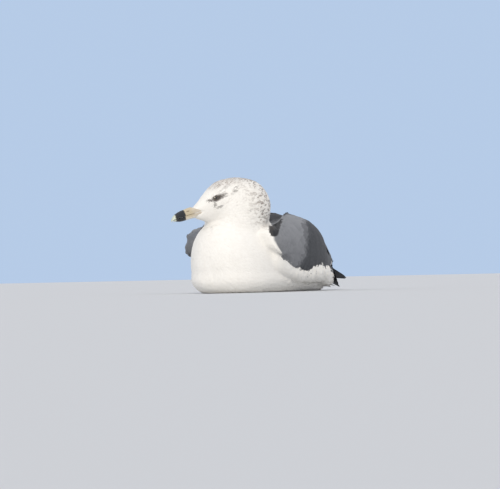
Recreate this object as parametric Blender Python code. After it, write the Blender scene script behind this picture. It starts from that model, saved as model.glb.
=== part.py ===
"""A ring-billed gull at rest on its belly, life size, as a still museum model.

The bird faces -Y, its left side is +X and it rests on the plane Z = 0. Lengths are in millimetres
until an object is made, when they become metres. Head, neck and trunk are modelled as one body,
which thin curved cuts then part. Wings, tail, bill, eyes and legs are fitted against that body.
"""

import math

import bmesh
import bpy
import numpy as np
from mathutils import Matrix, Vector

MM = 0.001
GAP = 0.3  # clear space between two pieces that meet

# Driving dimensions
TRUNK_LENGTH = 324.0  # front of the breast to the end of the under-tail feathers
TRUNK_FRONT = -64.0  # Y of the front of the breast; Y = 0 is near the bend of the wings
BACK_HEIGHT = 105.0
TRUNK_HALF_WIDTH = 60.0
CROWN_HEIGHT = 149.5
WINGS_HALF_WIDTH = 72.0
LEFT_WING_TIP = (3.5, 307.0, 6.5)  # where the longest primary ends; X is towards its own side
RIGHT_WING_TIP = (-6.0, 335.0, 16.0)  # this one crosses over the left one
TAIL_TIP_Y = 274.0
TAIL_TIP_HEIGHT = 8.5
TAIL_HALF_WIDTH = 26.0
HEAD_TURN = math.radians(30)  # towards the bird's right
HEAD_PITCH = math.radians(12)  # bill down
EYES_MIDDLE = (-13.0, -39.0, 122.0)  # point midway between the eyes
EYE_RADIUS = 6.5
EYE_OUT = 10.2  # from the head's middle plane to the centre of an eyeball
EYE_BACK = -2.0
BILL_TIP = 62.5  # from the eyes forward to the hook of the bill
LEG_OUT = 18.0  # from the middle plane to a leg
TOE_JOINT_Y = 50.0
TARSUS_LENGTH = 54.0
TOE_LENGTH = 44.0


def clear_scene():
    for obj in list(bpy.data.objects):
        bpy.data.objects.remove(obj, do_unlink=True)


def finish(name, colour, roughness):
    """A Principled material of one colour."""
    material = bpy.data.materials.new(name)
    material.use_nodes = True
    shader = material.node_tree.nodes["Principled BSDF"]
    shader.inputs["Base Color"].default_value = (*colour, 1.0)
    shader.inputs["Roughness"].default_value = roughness
    return material


# ---------------------------------------------------------------- tools for lofted shapes


def curve_through(rows, count):
    """count rows, evenly spaced along a Catmull-Rom curve through the given rows."""
    table = np.array(rows, float)
    padded = np.vstack([2 * table[0] - table[1], table, 2 * table[-1] - table[-2]])
    result = []
    for t in np.linspace(0, len(table) - 1, count):
        i = min(int(t), len(table) - 2)
        f = t - i
        a, b, c, d = padded[i : i + 4]
        bend = (2 * a - 5 * b + 4 * c - d) * f**2 + (3 * b - a - 3 * c + d) * f**3
        result.append(0.5 * (2 * b + (c - a) * f + bend))
    return result


def egg_point(angle, half_width, low, wide, high, power=2.4):
    """(x, z) on a section that is widest at height wide; angle 0 points out and 90 degrees up."""
    across, up = math.cos(angle), math.sin(angle)
    reach = high - wide if up > 0 else wide - low
    return (
        half_width * math.copysign(abs(across) ** (2 / power), across),
        wide + reach * math.copysign(abs(up) ** (2 / power), up),
    )


def turn(count):
    """count angles once round a section."""
    return [2 * math.pi * i / count for i in range(count)]


def loft(rings):
    """A closed mesh through rings of equal count, each a list of (x, y, z) in millimetres."""
    shape = bmesh.new()
    loops = [[shape.verts.new(Vector(p) * MM) for p in ring] for ring in rings]
    count = len(rings[0])
    for near, far in zip(loops, loops[1:]):
        for i in range(count):
            j = (i + 1) % count
            shape.faces.new((near[i], near[j], far[j], far[i]))
    shape.faces.new(loops[0][::-1])
    shape.faces.new(loops[-1])
    bmesh.ops.recalc_face_normals(shape, faces=shape.faces)
    return shape


def add_object(name, shape, material=None):
    mesh = bpy.data.meshes.new(name)
    shape.to_mesh(mesh)
    shape.free()
    obj = bpy.data.objects.new(name, mesh)
    bpy.context.scene.collection.objects.link(obj)
    if material:
        mesh.materials.append(material)
    return obj


def take_modifiers(obj):
    """Replaces the object's mesh by what its modifiers make of it."""
    bpy.context.view_layer.update()
    graph = bpy.context.evaluated_depsgraph_get()
    made = bpy.data.meshes.new_from_object(obj.evaluated_get(graph))
    obj.modifiers.clear()
    obj.data = made
    return obj


def boolean(obj, other, operation):
    modifier = obj.modifiers.new(operation.lower(), "BOOLEAN")
    modifier.operation = operation
    modifier.object = other
    modifier.solver = "EXACT"
    return take_modifiers(obj)


def copy_of(obj, name, swell=0.0):
    """A copy whose surface stands swell millimetres further out."""
    twin = bpy.data.objects.new(name, obj.data.copy())
    bpy.context.scene.collection.objects.link(twin)
    shape = bmesh.new()
    shape.from_mesh(twin.data)
    shape.normal_update()
    for vert in shape.verts:
        vert.co += vert.normal * swell * MM
    shape.to_mesh(twin.data)
    shape.free()
    return twin


def drop(*objects):
    for obj in objects:
        bpy.data.objects.remove(obj, do_unlink=True)


def make_room(obj, others, swell=GAP):
    """Cuts obj back so that it stands clear of the others."""
    for other in others:
        room = copy_of(other, "room", swell)
        boolean(obj, room, "DIFFERENCE")
        drop(room)


def simplify(obj, triangles):
    """Collapses the mesh to about this many triangles."""
    obj.data.calc_loop_triangles()
    modifier = obj.modifiers.new("fewer faces", "DECIMATE")
    modifier.ratio = min(1.0, triangles / len(obj.data.loop_triangles))
    modifier.use_collapse_triangulate = True
    return take_modifiers(obj)


def cut_flat(obj, point, normal):
    """Cuts away what lies beyond a plane, on the side of its normal, and closes the cut."""
    shape = bmesh.new()
    shape.from_mesh(obj.data)
    bmesh.ops.bisect_plane(
        shape,
        geom=shape.verts[:] + shape.edges[:] + shape.faces[:],
        plane_co=Vector(point) * MM,
        plane_no=normal,
        clear_outer=True,
        dist=1e-6,
    )
    open_edges = [edge for edge in shape.edges if edge.is_boundary]
    bmesh.ops.holes_fill(shape, edges=open_edges, sides=0)
    bmesh.ops.triangulate(shape, faces=[f for f in shape.faces if len(f.verts) > 4])
    bmesh.ops.recalc_face_normals(shape, faces=shape.faces)
    shape.to_mesh(obj.data)
    shape.free()
    return obj


def keep_largest(obj):
    """Keeps the largest of the mesh's separate bodies, and drops the crumbs that a cut left."""
    shape = bmesh.new()
    shape.from_mesh(obj.data)
    left, bodies = set(shape.verts), []
    while left:
        todo, found = [left.pop()], set()
        while todo:
            vert = todo.pop()
            found.add(vert)
            for edge in vert.link_edges:
                other = edge.other_vert(vert)
                if other in left:
                    left.remove(other)
                    todo.append(other)
        bodies.append(found)
    bodies.sort(key=len)
    crumbs = [vert for body in bodies[:-1] for vert in body]
    bmesh.ops.delete(shape, geom=crumbs, context="VERTS")
    shape.to_mesh(obj.data)
    shape.free()
    return obj


def shade(obj, material, angle=40):
    obj.data.materials.clear()
    obj.data.materials.append(material)
    obj.data.shade_smooth()
    obj.data.set_sharp_from_angle(angle=math.radians(angle))
    return obj


# ---------------------------------------------------------------- frame of the head


def head_frame():
    """Turns head coordinates, forward, left and up from the middle of the eyes, into the world's."""
    forward = Vector(
        (
            -math.sin(HEAD_TURN) * math.cos(HEAD_PITCH),
            -math.cos(HEAD_TURN) * math.cos(HEAD_PITCH),
            -math.sin(HEAD_PITCH),
        )
    )
    left = Vector((math.cos(HEAD_TURN), -math.sin(HEAD_TURN), 0))
    up = forward.cross(left)
    frame = Matrix((forward, left, up)).transposed().to_4x4()
    frame.translation = Vector(EYES_MIDDLE)
    return frame


HEAD = head_frame()


def on_head(forward, left, up):
    return HEAD @ Vector((forward, left, up))


# ---------------------------------------------------------------- head, neck and trunk

# Shares of TRUNK_LENGTH, then of BACK_HEIGHT three times, then of TRUNK_HALF_WIDTH:
# along, belly line, height of the widest point, back line, half width
TRUNK_ROWS = (
    (0.000, 0.430, 0.440, 0.450, 0.015),
    (0.009, 0.250, 0.440, 0.640, 0.300),
    (0.037, 0.080, 0.420, 0.790, 0.530),
    (0.086, -0.010, 0.410, 0.890, 0.740),
    (0.154, -0.045, 0.400, 0.940, 0.890),
    (0.241, -0.050, 0.400, 0.945, 0.965),
    (0.352, -0.050, 0.420, 0.970, 1.000),
    (0.469, -0.050, 0.430, 0.995, 0.990),
    (0.574, -0.045, 0.430, 0.965, 0.940),
    (0.676, -0.035, 0.410, 0.870, 0.840),
    (0.775, -0.015, 0.370, 0.735, 0.690),
    (0.867, 0.030, 0.300, 0.560, 0.530),
    (0.948, 0.080, 0.240, 0.400, 0.350),
    (0.988, 0.120, 0.215, 0.310, 0.180),
    (1.000, 0.190, 0.215, 0.240, 0.015),
)
TRUNK_FULLNESS = (2.05, 2.7)  # power of the section's curve above and below its widest point

# Height as a share of CROWN_HEIGHT, centre X and Y, half widths across and along
NECK_ROWS = (
    (0.42, 2.0, 2.0, 38.0, 42.0),
    (0.52, 4.0, 2.0, 41.5, 44.0),
    (0.62, 6.0, 2.0, 42.0, 43.0),
    (0.72, 8.0, 2.0, 41.5, 41.5),
    (0.82, 8.5, 1.0, 38.5, 38.0),
    (0.90, 8.0, -1.0, 31.5, 31.0),
    (0.957, 7.0, -4.0, 22.0, 22.0),
    (0.990, 6.0, -6.0, 10.0, 10.0),
    (1.000, 6.0, -6.0, 1.0, 1.0),
)

# Forward of the eyes, throat line, height of the widest point, crown line, half width
HEAD_ROWS = (
    (-52.0, -6.0, -4.0, -2.0, 1.0),
    (-49.0, -18.0, -4.0, 8.0, 14.0),
    (-41.0, -28.0, -5.0, 16.0, 22.5),
    (-29.0, -34.0, -6.0, 20.3, 25.0),
    (-18.0, -35.0, -7.0, 19.6, 24.0),
    (-8.0, -34.0, -8.0, 16.0, 21.5),
    (1.0, -32.0, -9.0, 10.9, 18.0),
    (10.0, -29.5, -9.5, 5.0, 14.4),
    (18.0, -26.0, -10.0, 0.1, 11.3),
    (25.0, -22.5, -10.5, -3.2, 8.8),
    (31.0, -20.0, -11.0, -5.2, 6.9),
    (34.0, -18.0, -11.5, -7.0, 4.8),
)

VOXEL = 1.9
BODY_TRIANGLES = 2300


def trunk_shape():
    rings = []
    above, below = TRUNK_FULLNESS
    for along, low, wide, high, half in curve_through(TRUNK_ROWS, 60):
        heights = (low * BACK_HEIGHT, wide * BACK_HEIGHT, high * BACK_HEIGHT)
        y = TRUNK_FRONT + along * TRUNK_LENGTH
        ring = []
        for angle in turn(40):
            power = above if math.sin(angle) > 0 else below
            x, z = egg_point(angle, max(half * TRUNK_HALF_WIDTH, 0.5), *heights, power)
            ring.append((x, y, z))
        rings.append(ring)
    return loft(rings)


def neck_shape():
    rings = []
    for height, x, y, across, along in curve_through(NECK_ROWS, 36):
        z = height * CROWN_HEIGHT
        ring = [(x + across * math.cos(a), y + along * math.sin(a), z) for a in turn(36)]
        rings.append(ring)
    return loft(rings)


def head_shape():
    rings = []
    for forward, low, wide, high, half in curve_through(HEAD_ROWS, 44):
        ring = []
        for angle in turn(32):
            side, up = egg_point(angle, max(half, 0.5), low, wide, high, 2.15)
            ring.append(on_head(forward, side, up))
        rings.append(ring)
    return loft(rings)


def whole_body():
    """Trunk, neck and head run together, as the coat of feathers makes them."""
    body = add_object("whole_body", trunk_shape())
    neck = add_object("neck_form", neck_shape())
    head = add_object("head_form", head_shape())
    boolean(body, neck, "UNION")
    boolean(body, head, "UNION")
    drop(neck, head)
    remesh = body.modifiers.new("one skin", "REMESH")
    remesh.mode = "VOXEL"
    remesh.voxel_size = VOXEL * MM
    smooth = body.modifiers.new("soft folds", "SMOOTH")
    smooth.factor = 0.5
    smooth.iterations = 14
    take_modifiers(body)
    simplify(body, BODY_TRIANGLES)
    return cut_flat(body, (0, 0, 0), (0, 0, -1))


def ball(name, centre, radii, segments=32, rings=20):
    """An ellipsoid; centre and radii in millimetres."""
    shape = bmesh.new()
    bmesh.ops.create_uvsphere(shape, u_segments=segments, v_segments=rings, radius=1.0)
    place = Matrix.Translation(Vector(centre) * MM)
    bmesh.ops.transform(shape, matrix=place @ Matrix.Diagonal(Vector(radii) * MM).to_4x4(), verts=shape.verts)
    return add_object(name, shape)


COLLAR_FOOT = (-10.0, -45.0, 87.5)  # middle of the oval drum's base, which cuts head and neck off
COLLAR_RADII = (86.0, 97.0)
COLLAR_HEIGHT = 90.0
COLLAR_TILT = math.radians(8.5)  # the base rises towards the back
HEAD_CUT = (4.0, -6.0, 105.0)  # the plane between head and neck passes here
HEAD_CUT_TILT = math.radians(20)


def collar(swell=0.0):
    """An oval drum round head and neck, swell millimetres larger all over."""
    shape = bmesh.new()
    bmesh.ops.create_cone(shape, cap_ends=True, segments=56, radius1=1, radius2=1, depth=1)
    across, along = (radius + swell for radius in COLLAR_RADII)
    size = Matrix.Diagonal((across, along, COLLAR_HEIGHT + 2 * swell, 1))
    lift = Matrix.Translation((0, 0, COLLAR_HEIGHT / 2))
    lean = Matrix.Rotation(COLLAR_TILT, 4, "X")
    place = Matrix.Scale(MM, 4) @ Matrix.Translation(COLLAR_FOOT) @ lean @ lift @ size
    bmesh.ops.transform(shape, matrix=place, verts=shape.verts)
    return add_object("collar", shape)


def part_body(body, plumage_white):
    """Parts the whole body at a collar round the neck and at a slope behind the jaw."""
    inside, outside = collar(), collar(GAP)
    trunk = copy_of(body, "trunk")
    neck = copy_of(body, "neck")
    boolean(trunk, outside, "DIFFERENCE")
    boolean(neck, inside, "INTERSECT")
    drop(inside, outside)
    head = copy_of(neck, "head")
    ahead = Vector((-math.sin(HEAD_TURN), -math.cos(HEAD_TURN), 0))
    slope = ahead * math.sin(HEAD_CUT_TILT) + Vector((0, 0, math.cos(HEAD_CUT_TILT)))
    middle = Vector(HEAD_CUT)
    cut_flat(neck, middle - slope * GAP / 2, slope)
    cut_flat(head, middle + slope * GAP / 2, -slope)
    for piece in (trunk, neck, head):
        shade(keep_largest(piece), plumage_white)
    return trunk, neck, head


# ---------------------------------------------------------------- bill and eyes

# Forward of the eyes, cutting edge, ridge, half width. The last rows turn down into the hook.
UPPER_BILL_ROWS = (
    (16.0, -11.8, -4.6, 5.6),
    (25.0, -12.6, -4.0, 5.6),
    (34.0, -13.1, -4.5, 5.3),
    (42.0, -13.5, -5.6, 4.8),
    (48.0, -13.9, -6.3, 4.4),
    (54.0, -14.4, -8.2, 3.8),
    (58.5, -15.1, -10.9, 3.0),
    (61.4, -16.2, -14.3, 1.9),
    (BILL_TIP, -17.9, -16.7, 0.6),
)

# Forward of the eyes, keel, cutting edge, half width
LOWER_BILL_ROWS = (
    (16.0, -19.0, -12.2, 5.3),
    (25.0, -19.4, -13.0, 5.3),
    (34.0, -19.2, -13.5, 5.0),
    (42.0, -19.6, -13.9, 4.5),
    (48.0, -19.7, -14.3, 4.0),
    (53.0, -18.9, -14.8, 3.3),
    (57.0, -17.7, -15.5, 2.3),
    (59.0, -17.0, -16.3, 1.2),
)


def bill_half(rows, roof):
    """Half of the bill. roof is +1 for the upper half, whose ridge is on top, and -1 for the lower."""
    rings = []
    for forward, low, high, half in curve_through(rows, 12):
        edge, ridge = (low, high) if roof > 0 else (high, low)
        ring = []
        for step in range(9):
            angle = math.pi * step / 8
            side = half * math.copysign(abs(math.cos(angle)) ** 0.9, math.cos(angle))
            lift = math.sin(angle) ** 0.8
            ring.append(on_head(forward, side, edge + (ridge - edge) * lift))
        ring.append(on_head(forward, -half * 0.45, edge))
        ring.append(on_head(forward, half * 0.45, edge))
        rings.append(ring)
    return loft(rings)


def make_bill(head, horn):
    for name, rows, roof in (
        ("bill_upper", UPPER_BILL_ROWS, 1),
        ("bill_lower", LOWER_BILL_ROWS, -1),
    ):
        half = shade(add_object(name, bill_half(rows, roof)), horn, 60)
        make_room(head, [half])


def eye_frame(side):
    """The eye's own frame, whose Z looks out of the head, a little forward and a little up."""
    out = Vector((0.16, side, 0.06)).normalized()
    turned = out.to_track_quat("Z", "Y").to_matrix().to_4x4()
    return HEAD @ Matrix.Translation((EYE_BACK, side * EYE_OUT, 0)) @ turned


SOCKET_MOUTH = (4.4, 7.0, 13.0)  # the opening's radius at the eyeball, further out, and how far out


def socket_shape():
    """A round hollow for an eyeball, opening outwards along Z in a funnel."""
    radius = EYE_RADIUS + GAP
    near, wide, far = SOCKET_MOUTH
    brim = math.degrees(math.asin(near / radius))
    profile = []
    for angle in np.linspace(170, brim, 8):
        profile.append((radius * math.sin(math.radians(angle)), radius * math.cos(math.radians(angle))))
    profile.append((wide, far))
    return loft([[(r * math.cos(a), r * math.sin(a), z) for a in turn(14)] for r, z in profile])


def make_eyes(head, eye_dark):
    """Eyeballs in sockets that open through the feathers of the face."""
    for name, side in (("eye_left", 1), ("eye_right", -1)):
        frame = eye_frame(side)
        socket = add_object("socket", socket_shape())
        eyeball = ball(name, (0, 0, 0), [EYE_RADIUS] * 3, 12, 8)
        place = Matrix.Translation(frame.translation * MM) @ frame.to_3x3().to_4x4()
        for piece in (socket, eyeball):
            piece.data.transform(place)
        boolean(head, socket, "DIFFERENCE")
        drop(socket)
        shade(eyeball, eye_dark, 80)


# ---------------------------------------------------------------- wings

# Y, then the coat's section: lower reach, height of the widest point, top, half width as a share
# of WINGS_HALF_WIDTH; then the angles, in degrees, from which to which the wing covers it
WING_ROWS = (
    (-15.5, 14.0, 70.0, 98.0, 0.800, 3.0, 12.0),
    (-13.0, 12.0, 69.0, 99.0, 0.870, -2.0, 18.0),
    (-9.0, 10.0, 68.0, 100.0, 0.935, -7.0, 28.0),
    (1.0, 8.0, 66.0, 102.0, 0.985, -11.0, 38.0),
    (24.0, 6.0, 61.0, 104.5, 1.000, -16.0, 48.0),
    (60.0, 4.0, 54.0, 106.5, 1.000, -25.0, 60.0),
    (95.0, 4.0, 52.0, 107.0, 0.970, -21.0, 72.0),
    (130.0, 6.0, 50.0, 104.0, 0.900, -15.0, 82.0),
    (160.0, 9.0, 47.0, 96.5, 0.800, -10.0, 90.0),
    (190.0, 13.0, 42.0, 83.0, 0.640, -5.0, 90.0),
    (215.0, 16.0, 37.0, 67.0, 0.525, 0.0, 90.0),
    (238.0, 19.0, 33.0, 52.0, 0.450, 8.0, 90.0),
    (254.0, 22.0, 30.0, 41.0, 0.370, 18.0, 84.0),
    (262.0, 24.0, 29.0, 36.0, 0.310, 30.0, 70.0),
)
WING_DEPTH = 0.74  # the wing's inner side before it is fitted, as a share of its outer side


def wing_shape(side):
    rings = []
    arc = 10
    for row in curve_through(WING_ROWS, 19):
        y, low, wide, high, share, start, stop = row
        section = (share * WINGS_HALF_WIDTH, low, wide, high, 2.7)
        angles = [math.radians(a) for a in np.linspace(start, stop, arc)]
        outer = [egg_point(a, *section) for a in angles]
        inner = [(x * WING_DEPTH, wide + (z - wide) * WING_DEPTH) for x, z in outer]
        ring = [(side * x, y, z) for x, z in outer + inner[::-1]]
        rings.append(ring)
    return loft(rings)


def make_wings(body, plumage_grey):
    for name, side in (("wing_left", 1), ("wing_right", -1)):
        wing = add_object(name, wing_shape(side))
        make_room(wing, [body])
        cut_flat(wing, (side * GAP / 2, 0, 0), (-side, 0, 0))
        shade(keep_largest(wing), plumage_grey)


# ---------------------------------------------------------------- wing tips and tail


def blade(path, half_widths, tilts, thickness):
    """A flight feather: a thin lens section carried along path and rolled by tilts, in degrees."""
    rings = []
    for i, centre in enumerate(path):
        before, after = path[max(i - 1, 0)], path[min(i + 1, len(path) - 1)]
        run = (Vector(after) - Vector(before)).normalized()
        level = run.cross(Vector((0, 0, 1))).normalized()
        roll = Matrix.Rotation(math.radians(tilts[i]), 3, run)
        across = roll @ level
        up = roll @ level.cross(run)
        ring = []
        for angle in turn(6):
            offset = across * half_widths[i] * math.cos(angle)
            point = Vector(centre) + offset + up * thickness / 2 * math.sin(angle)
            ring.append(tuple(point))
        rings.append(ring)
    return loft(rings)


PRIMARY_ROOT = (36.0, 192.0, 42.0)
PRIMARIES = 4
PRIMARY_STEP = 19.0  # how much shorter each primary is than the next
PRIMARY_THICKNESS = 2.0
PRIMARY_LIFT = 1.1  # how far each primary lies above the longer one
PRIMARY_HALF_WIDTH = 11.5


def primary(number, side, longest_tip):
    """Number 0 is the longest primary, lowest in the folded wing."""
    tip = Vector(longest_tip) + Vector((1.0, -PRIMARY_STEP, PRIMARY_LIFT * 1.2)) * number
    root = Vector(PRIMARY_ROOT) + Vector((-2.4, 1.3, PRIMARY_LIFT * 1.6)) * number
    path, widths, tilts = [], [], []
    for share in (0, 0.2, 0.45, 0.7, 0.85, 0.94, 1.0):
        point = root.lerp(tip, share)
        point.z += 2.5 * math.sin(math.pi * share)
        point.x += 4.0 * math.sin(math.pi * share)
        path.append((side * point.x, point.y, point.z))
        base = 0.4 + 0.6 * min(share / 0.4, 1)
        widths.append(PRIMARY_HALF_WIDTH * base * math.sqrt(max(1 - share**3.4, 0.01)))
        tilts.append(side * (40 - 32 * share))
    return blade(path, widths, tilts, PRIMARY_THICKNESS)


def make_primaries():
    """The plain blades of the right wing and of the left."""
    sides = ((-1, RIGHT_WING_TIP), (1, LEFT_WING_TIP))
    return [[add_object("primary", primary(n, side, tip)) for n in range(PRIMARIES)] for side, tip in sides]


def make_wing_tips(body, primaries, plumage_black):
    """The folded primaries of each wing, one blade over another, run together at their roots."""
    right, left = primaries
    for name, side, blades, above in (
        ("wing_tip_right", -1, right, []),
        ("wing_tip_left", 1, left, right),
    ):
        tip = copy_of(blades[0], name)
        for feather in blades[1:]:
            boolean(tip, feather, "UNION")
        wing = add_object("wing_form", wing_shape(side))
        make_room(tip, [body, wing, *above])
        drop(wing)
        shade(keep_largest(tip), plumage_black)


# Share of the way to the tail's tip, height above its straight line, half width as a share
TAIL_ROWS = (
    (0.00, 0.0, 0.70),
    (0.30, 0.6, 0.80),
    (0.60, 0.6, 0.92),
    (0.85, 0.3, 1.00),
    (0.96, 0.1, 0.96),
    (1.00, 0.0, 0.85),
)
TAIL_ROOT = (214.0, 20.0)  # Y and Z, inside the trunk
TAIL_THICKNESS = 3.2
TAIL_DROOP = 4.0  # how far the outer tail feathers hang below the middle ones


def tail_shape():
    """The closed tail, arched a little from side to side."""
    rings = []
    for share, rise, width in curve_through(TAIL_ROWS, 11):
        y = TAIL_ROOT[0] + (TAIL_TIP_Y - TAIL_ROOT[0]) * share
        middle = TAIL_ROOT[1] + (TAIL_TIP_HEIGHT - TAIL_ROOT[1]) * share + rise
        upper, lower = [], []
        for across in np.linspace(-1, 1, 9):
            x = across * width * TAIL_HALF_WIDTH
            z = middle - TAIL_DROOP * across**2
            half_thick = TAIL_THICKNESS / 2 * math.sqrt(1.05 - across**2)
            upper.append((x, y, z + half_thick))
            lower.append((x, y, z - half_thick))
        rings.append(upper + lower[::-1])
    return loft(rings)


def make_tail(body, primaries, plumage_white):
    """The tail, which comes out of the under-tail feathers and stays clear of the wing tips."""
    tail = add_object("tail", tail_shape())
    make_room(tail, [body])
    make_room(tail, primaries[0] + primaries[1], 3 * GAP)
    shade(keep_largest(tail), plumage_white, 50)


# ---------------------------------------------------------------- legs and feet


def bar(points, radii, count=10):
    """A rounded bar along points that lies on the floor, its underside flat."""
    rings = []
    for i, centre in enumerate(points):
        before, after = points[max(i - 1, 0)], points[min(i + 1, len(points) - 1)]
        run = (Vector(after) - Vector(before)).normalized()
        level = run.cross(Vector((0, 0, 1))).normalized()
        up = level.cross(run)
        ring = []
        for angle in turn(count):
            around = level * math.cos(angle) + up * math.sin(angle)
            point = Vector(centre) + around * radii[i]
            ring.append((point.x, point.y, max(point.z, 0.0)))
        rings.append(ring)
    return loft(rings)


# The front toes: degrees out from straight ahead, length as a share of TOE_LENGTH
TOES = ((-12, 0.84), (3, 1.0), (18, 0.93))
WEB_THICKNESS = 1.2
WEB_HOLLOW = 0.80  # how far the edge of the web reaches between two toes
FOOT_ROOM = 2.4  # the hollow for a foot is this much wider than the foot's outline
FOOT_HEIGHT = 4.3


def toe_end(angle, length, side):
    turned = math.radians(angle)
    x = side * (LEG_OUT + length * TOE_LENGTH * math.sin(turned))
    return x, TOE_JOINT_Y - length * TOE_LENGTH * math.cos(turned)


def toe_bar(angle, length, side):
    end_x, end_y = toe_end(angle, length, side)
    root = Vector((side * LEG_OUT, TOE_JOINT_Y - 1.0, 1.9))
    end = Vector((end_x, end_y, 0.7))
    points = [tuple(root.lerp(end, share)) for share in (0, 0.5, 0.9, 1)]
    return bar(points, (2.3, 1.8, 1.5, 0.5), 8)


def foot_outline(side, hollow):
    """(x, y) round the web, from the toe joint out to the toes and back."""
    outline = [(side * (LEG_OUT - 2.5), TOE_JOINT_Y + 1), (side * (LEG_OUT + 2.5), TOE_JOINT_Y + 1)]
    for number in range(len(TOES) - 1, -1, -1):
        angle, length = TOES[number]
        outline.append(toe_end(angle, length * 0.93, side))
        if number:
            next_angle, next_length = TOES[number - 1]
            between = (angle + next_angle) / 2
            outline.append(toe_end(between, hollow * (length + next_length) / 2, side))
    return outline


def foot_hollow(side):
    """The room in the belly for one foot: its outline, wider all round, without the web's hollows."""
    outline = [Vector(point) for point in foot_outline(side, 1.0)]
    middle = sum(outline, Vector((0, 0))) / len(outline)
    wider = [point + (point - middle).normalized() * (FOOT_ROOM + 1.5) for point in outline]
    return loft([[(x, y, z) for x, y in wider] for z in (-1.0, FOOT_HEIGHT + GAP)])


def make_legs(trunk, leg_skin):
    """Shanks and webbed feet, folded flat under the belly in hollows of their own."""
    for word, side in (("left", 1), ("right", -1)):
        shares = (0.0, 0.04, 0.15, 0.5, 0.85, 0.96, 1.0)
        ends = (TOE_JOINT_Y + TARSUS_LENGTH, TOE_JOINT_Y + 1.5)
        line = [(side * LEG_OUT, ends[0] + (ends[1] - ends[0]) * share, 2.4) for share in shares]
        leg = add_object("leg_" + word, bar(line, (1.2, 2.9, 3.3, 2.3, 2.4, 2.5, 1.4), 8))
        web = [(x, y) for x, y in foot_outline(side, WEB_HOLLOW)]
        foot = add_object("foot_" + word, loft([[(x, y, z) for x, y in web] for z in (0, WEB_THICKNESS)]))
        for angle, length in TOES:
            toe = add_object("toe", toe_bar(angle, length, side))
            boolean(foot, toe, "UNION")
            drop(toe)
        make_room(trunk, [leg])
        hollow = add_object("hollow", foot_hollow(side))
        boolean(trunk, hollow, "DIFFERENCE")
        drop(hollow)
        shade(leg, leg_skin)
        shade(keep_largest(foot), leg_skin)


def centre_on_origin():
    """Moves every piece so that the origin is the middle of the foot of the whole bird."""
    pieces = [obj for obj in bpy.data.objects if obj.type == "MESH"]
    corners = np.array([vert.co[:] for obj in pieces for vert in obj.data.vertices])
    low, high = corners.min(axis=0), corners.max(axis=0)
    shift = Vector((-(low[0] + high[0]) / 2, -(low[1] + high[1]) / 2, -low[2]))
    for obj in pieces:
        obj.data.transform(Matrix.Translation(shift))


def main():
    clear_scene()
    white = finish("white plumage", (0.86, 0.85, 0.82), 0.8)
    grey = finish("grey plumage", (0.36, 0.38, 0.40), 0.75)
    black = finish("black plumage", (0.03, 0.03, 0.035), 0.6)
    horn = finish("bill horn", (0.62, 0.53, 0.34), 0.4)
    eye_dark = finish("eye", (0.06, 0.05, 0.04), 0.1)
    leg_skin = finish("leg skin", (0.55, 0.50, 0.22), 0.5)

    body = whole_body()
    trunk, neck, head = part_body(body, white)
    make_bill(head, horn)
    make_eyes(head, eye_dark)
    make_wings(body, grey)
    primaries = make_primaries()
    make_wing_tips(body, primaries, black)
    make_tail(body, primaries, white)
    make_legs(trunk, leg_skin)
    drop(body, *primaries[0], *primaries[1])
    centre_on_origin()


main()
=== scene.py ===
"""A ring-billed gull at rest on its belly, life size, dressed as a museum model.

The bird faces -Y, its left side is +X and it lies on the plane Z = 0. Lengths are in metres.
"""

import math

import bpy
import numpy as np
from mathutils import Matrix, Vector
from mathutils.bvhtree import BVHTree


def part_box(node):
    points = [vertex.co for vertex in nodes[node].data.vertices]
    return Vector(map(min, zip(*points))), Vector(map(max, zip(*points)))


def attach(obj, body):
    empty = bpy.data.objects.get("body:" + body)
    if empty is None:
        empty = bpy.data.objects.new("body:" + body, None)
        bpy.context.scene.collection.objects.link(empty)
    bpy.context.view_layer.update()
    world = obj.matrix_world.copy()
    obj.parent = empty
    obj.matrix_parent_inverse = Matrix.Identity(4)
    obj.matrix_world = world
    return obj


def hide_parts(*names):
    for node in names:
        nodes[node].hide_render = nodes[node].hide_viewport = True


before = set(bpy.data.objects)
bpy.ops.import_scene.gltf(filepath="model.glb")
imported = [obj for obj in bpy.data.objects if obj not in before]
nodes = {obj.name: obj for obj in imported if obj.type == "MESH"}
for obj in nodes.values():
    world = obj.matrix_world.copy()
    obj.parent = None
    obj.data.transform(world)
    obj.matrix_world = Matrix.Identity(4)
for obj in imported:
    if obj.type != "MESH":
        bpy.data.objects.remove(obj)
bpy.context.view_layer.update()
scene = bpy.context.scene

# ------------------------------------------------------------------ stand, light and viewpoint
# The model lies on a pale, matt studio floor. A warm lamp in front of it and to its left models the
# breast, two weak, broad ones light face and back, and a cool room light fills the rest.

FLOOR_SIZE = 60.0
VIEW_FROM = math.radians(27)  # the viewer stands this far round from the bird's front to its left
VIEW_DISTANCE = 3.0
VIEW_HEIGHT = 0.02
VIEW_WIDTH = 0.650  # of the view, at the bird
VIEW_AIM = (0.0221, 0.0625)  # where the view's middle is: right of the breast's foot, and up
VIEW_ROLL = math.radians(1.2)  # the viewer holds the camera a little askew
BREAST_FOOT = Vector((0.0, -0.12308, 0.0))
SENSOR_WIDTH = 36.0


def plain_shader(name):
    """A new node material, its tree and its Principled shader."""
    material = bpy.data.materials.new(name)
    material.use_nodes = True
    tree = material.node_tree
    return material, tree, tree.nodes["Principled BSDF"]


bpy.ops.object.select_all(action="DESELECT")
bpy.ops.mesh.primitive_plane_add(size=FLOOR_SIZE, location=(0, 0, 0))
floor = bpy.context.object
floor.name = "studio_floor"
floor_paint, tree, shader = plain_shader("studio_floor")
shader.inputs["Base Color"].default_value = (0.62, 0.63, 0.64, 1)
shader.inputs["Roughness"].default_value = 0.9
floor.data.materials.append(floor_paint)

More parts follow.
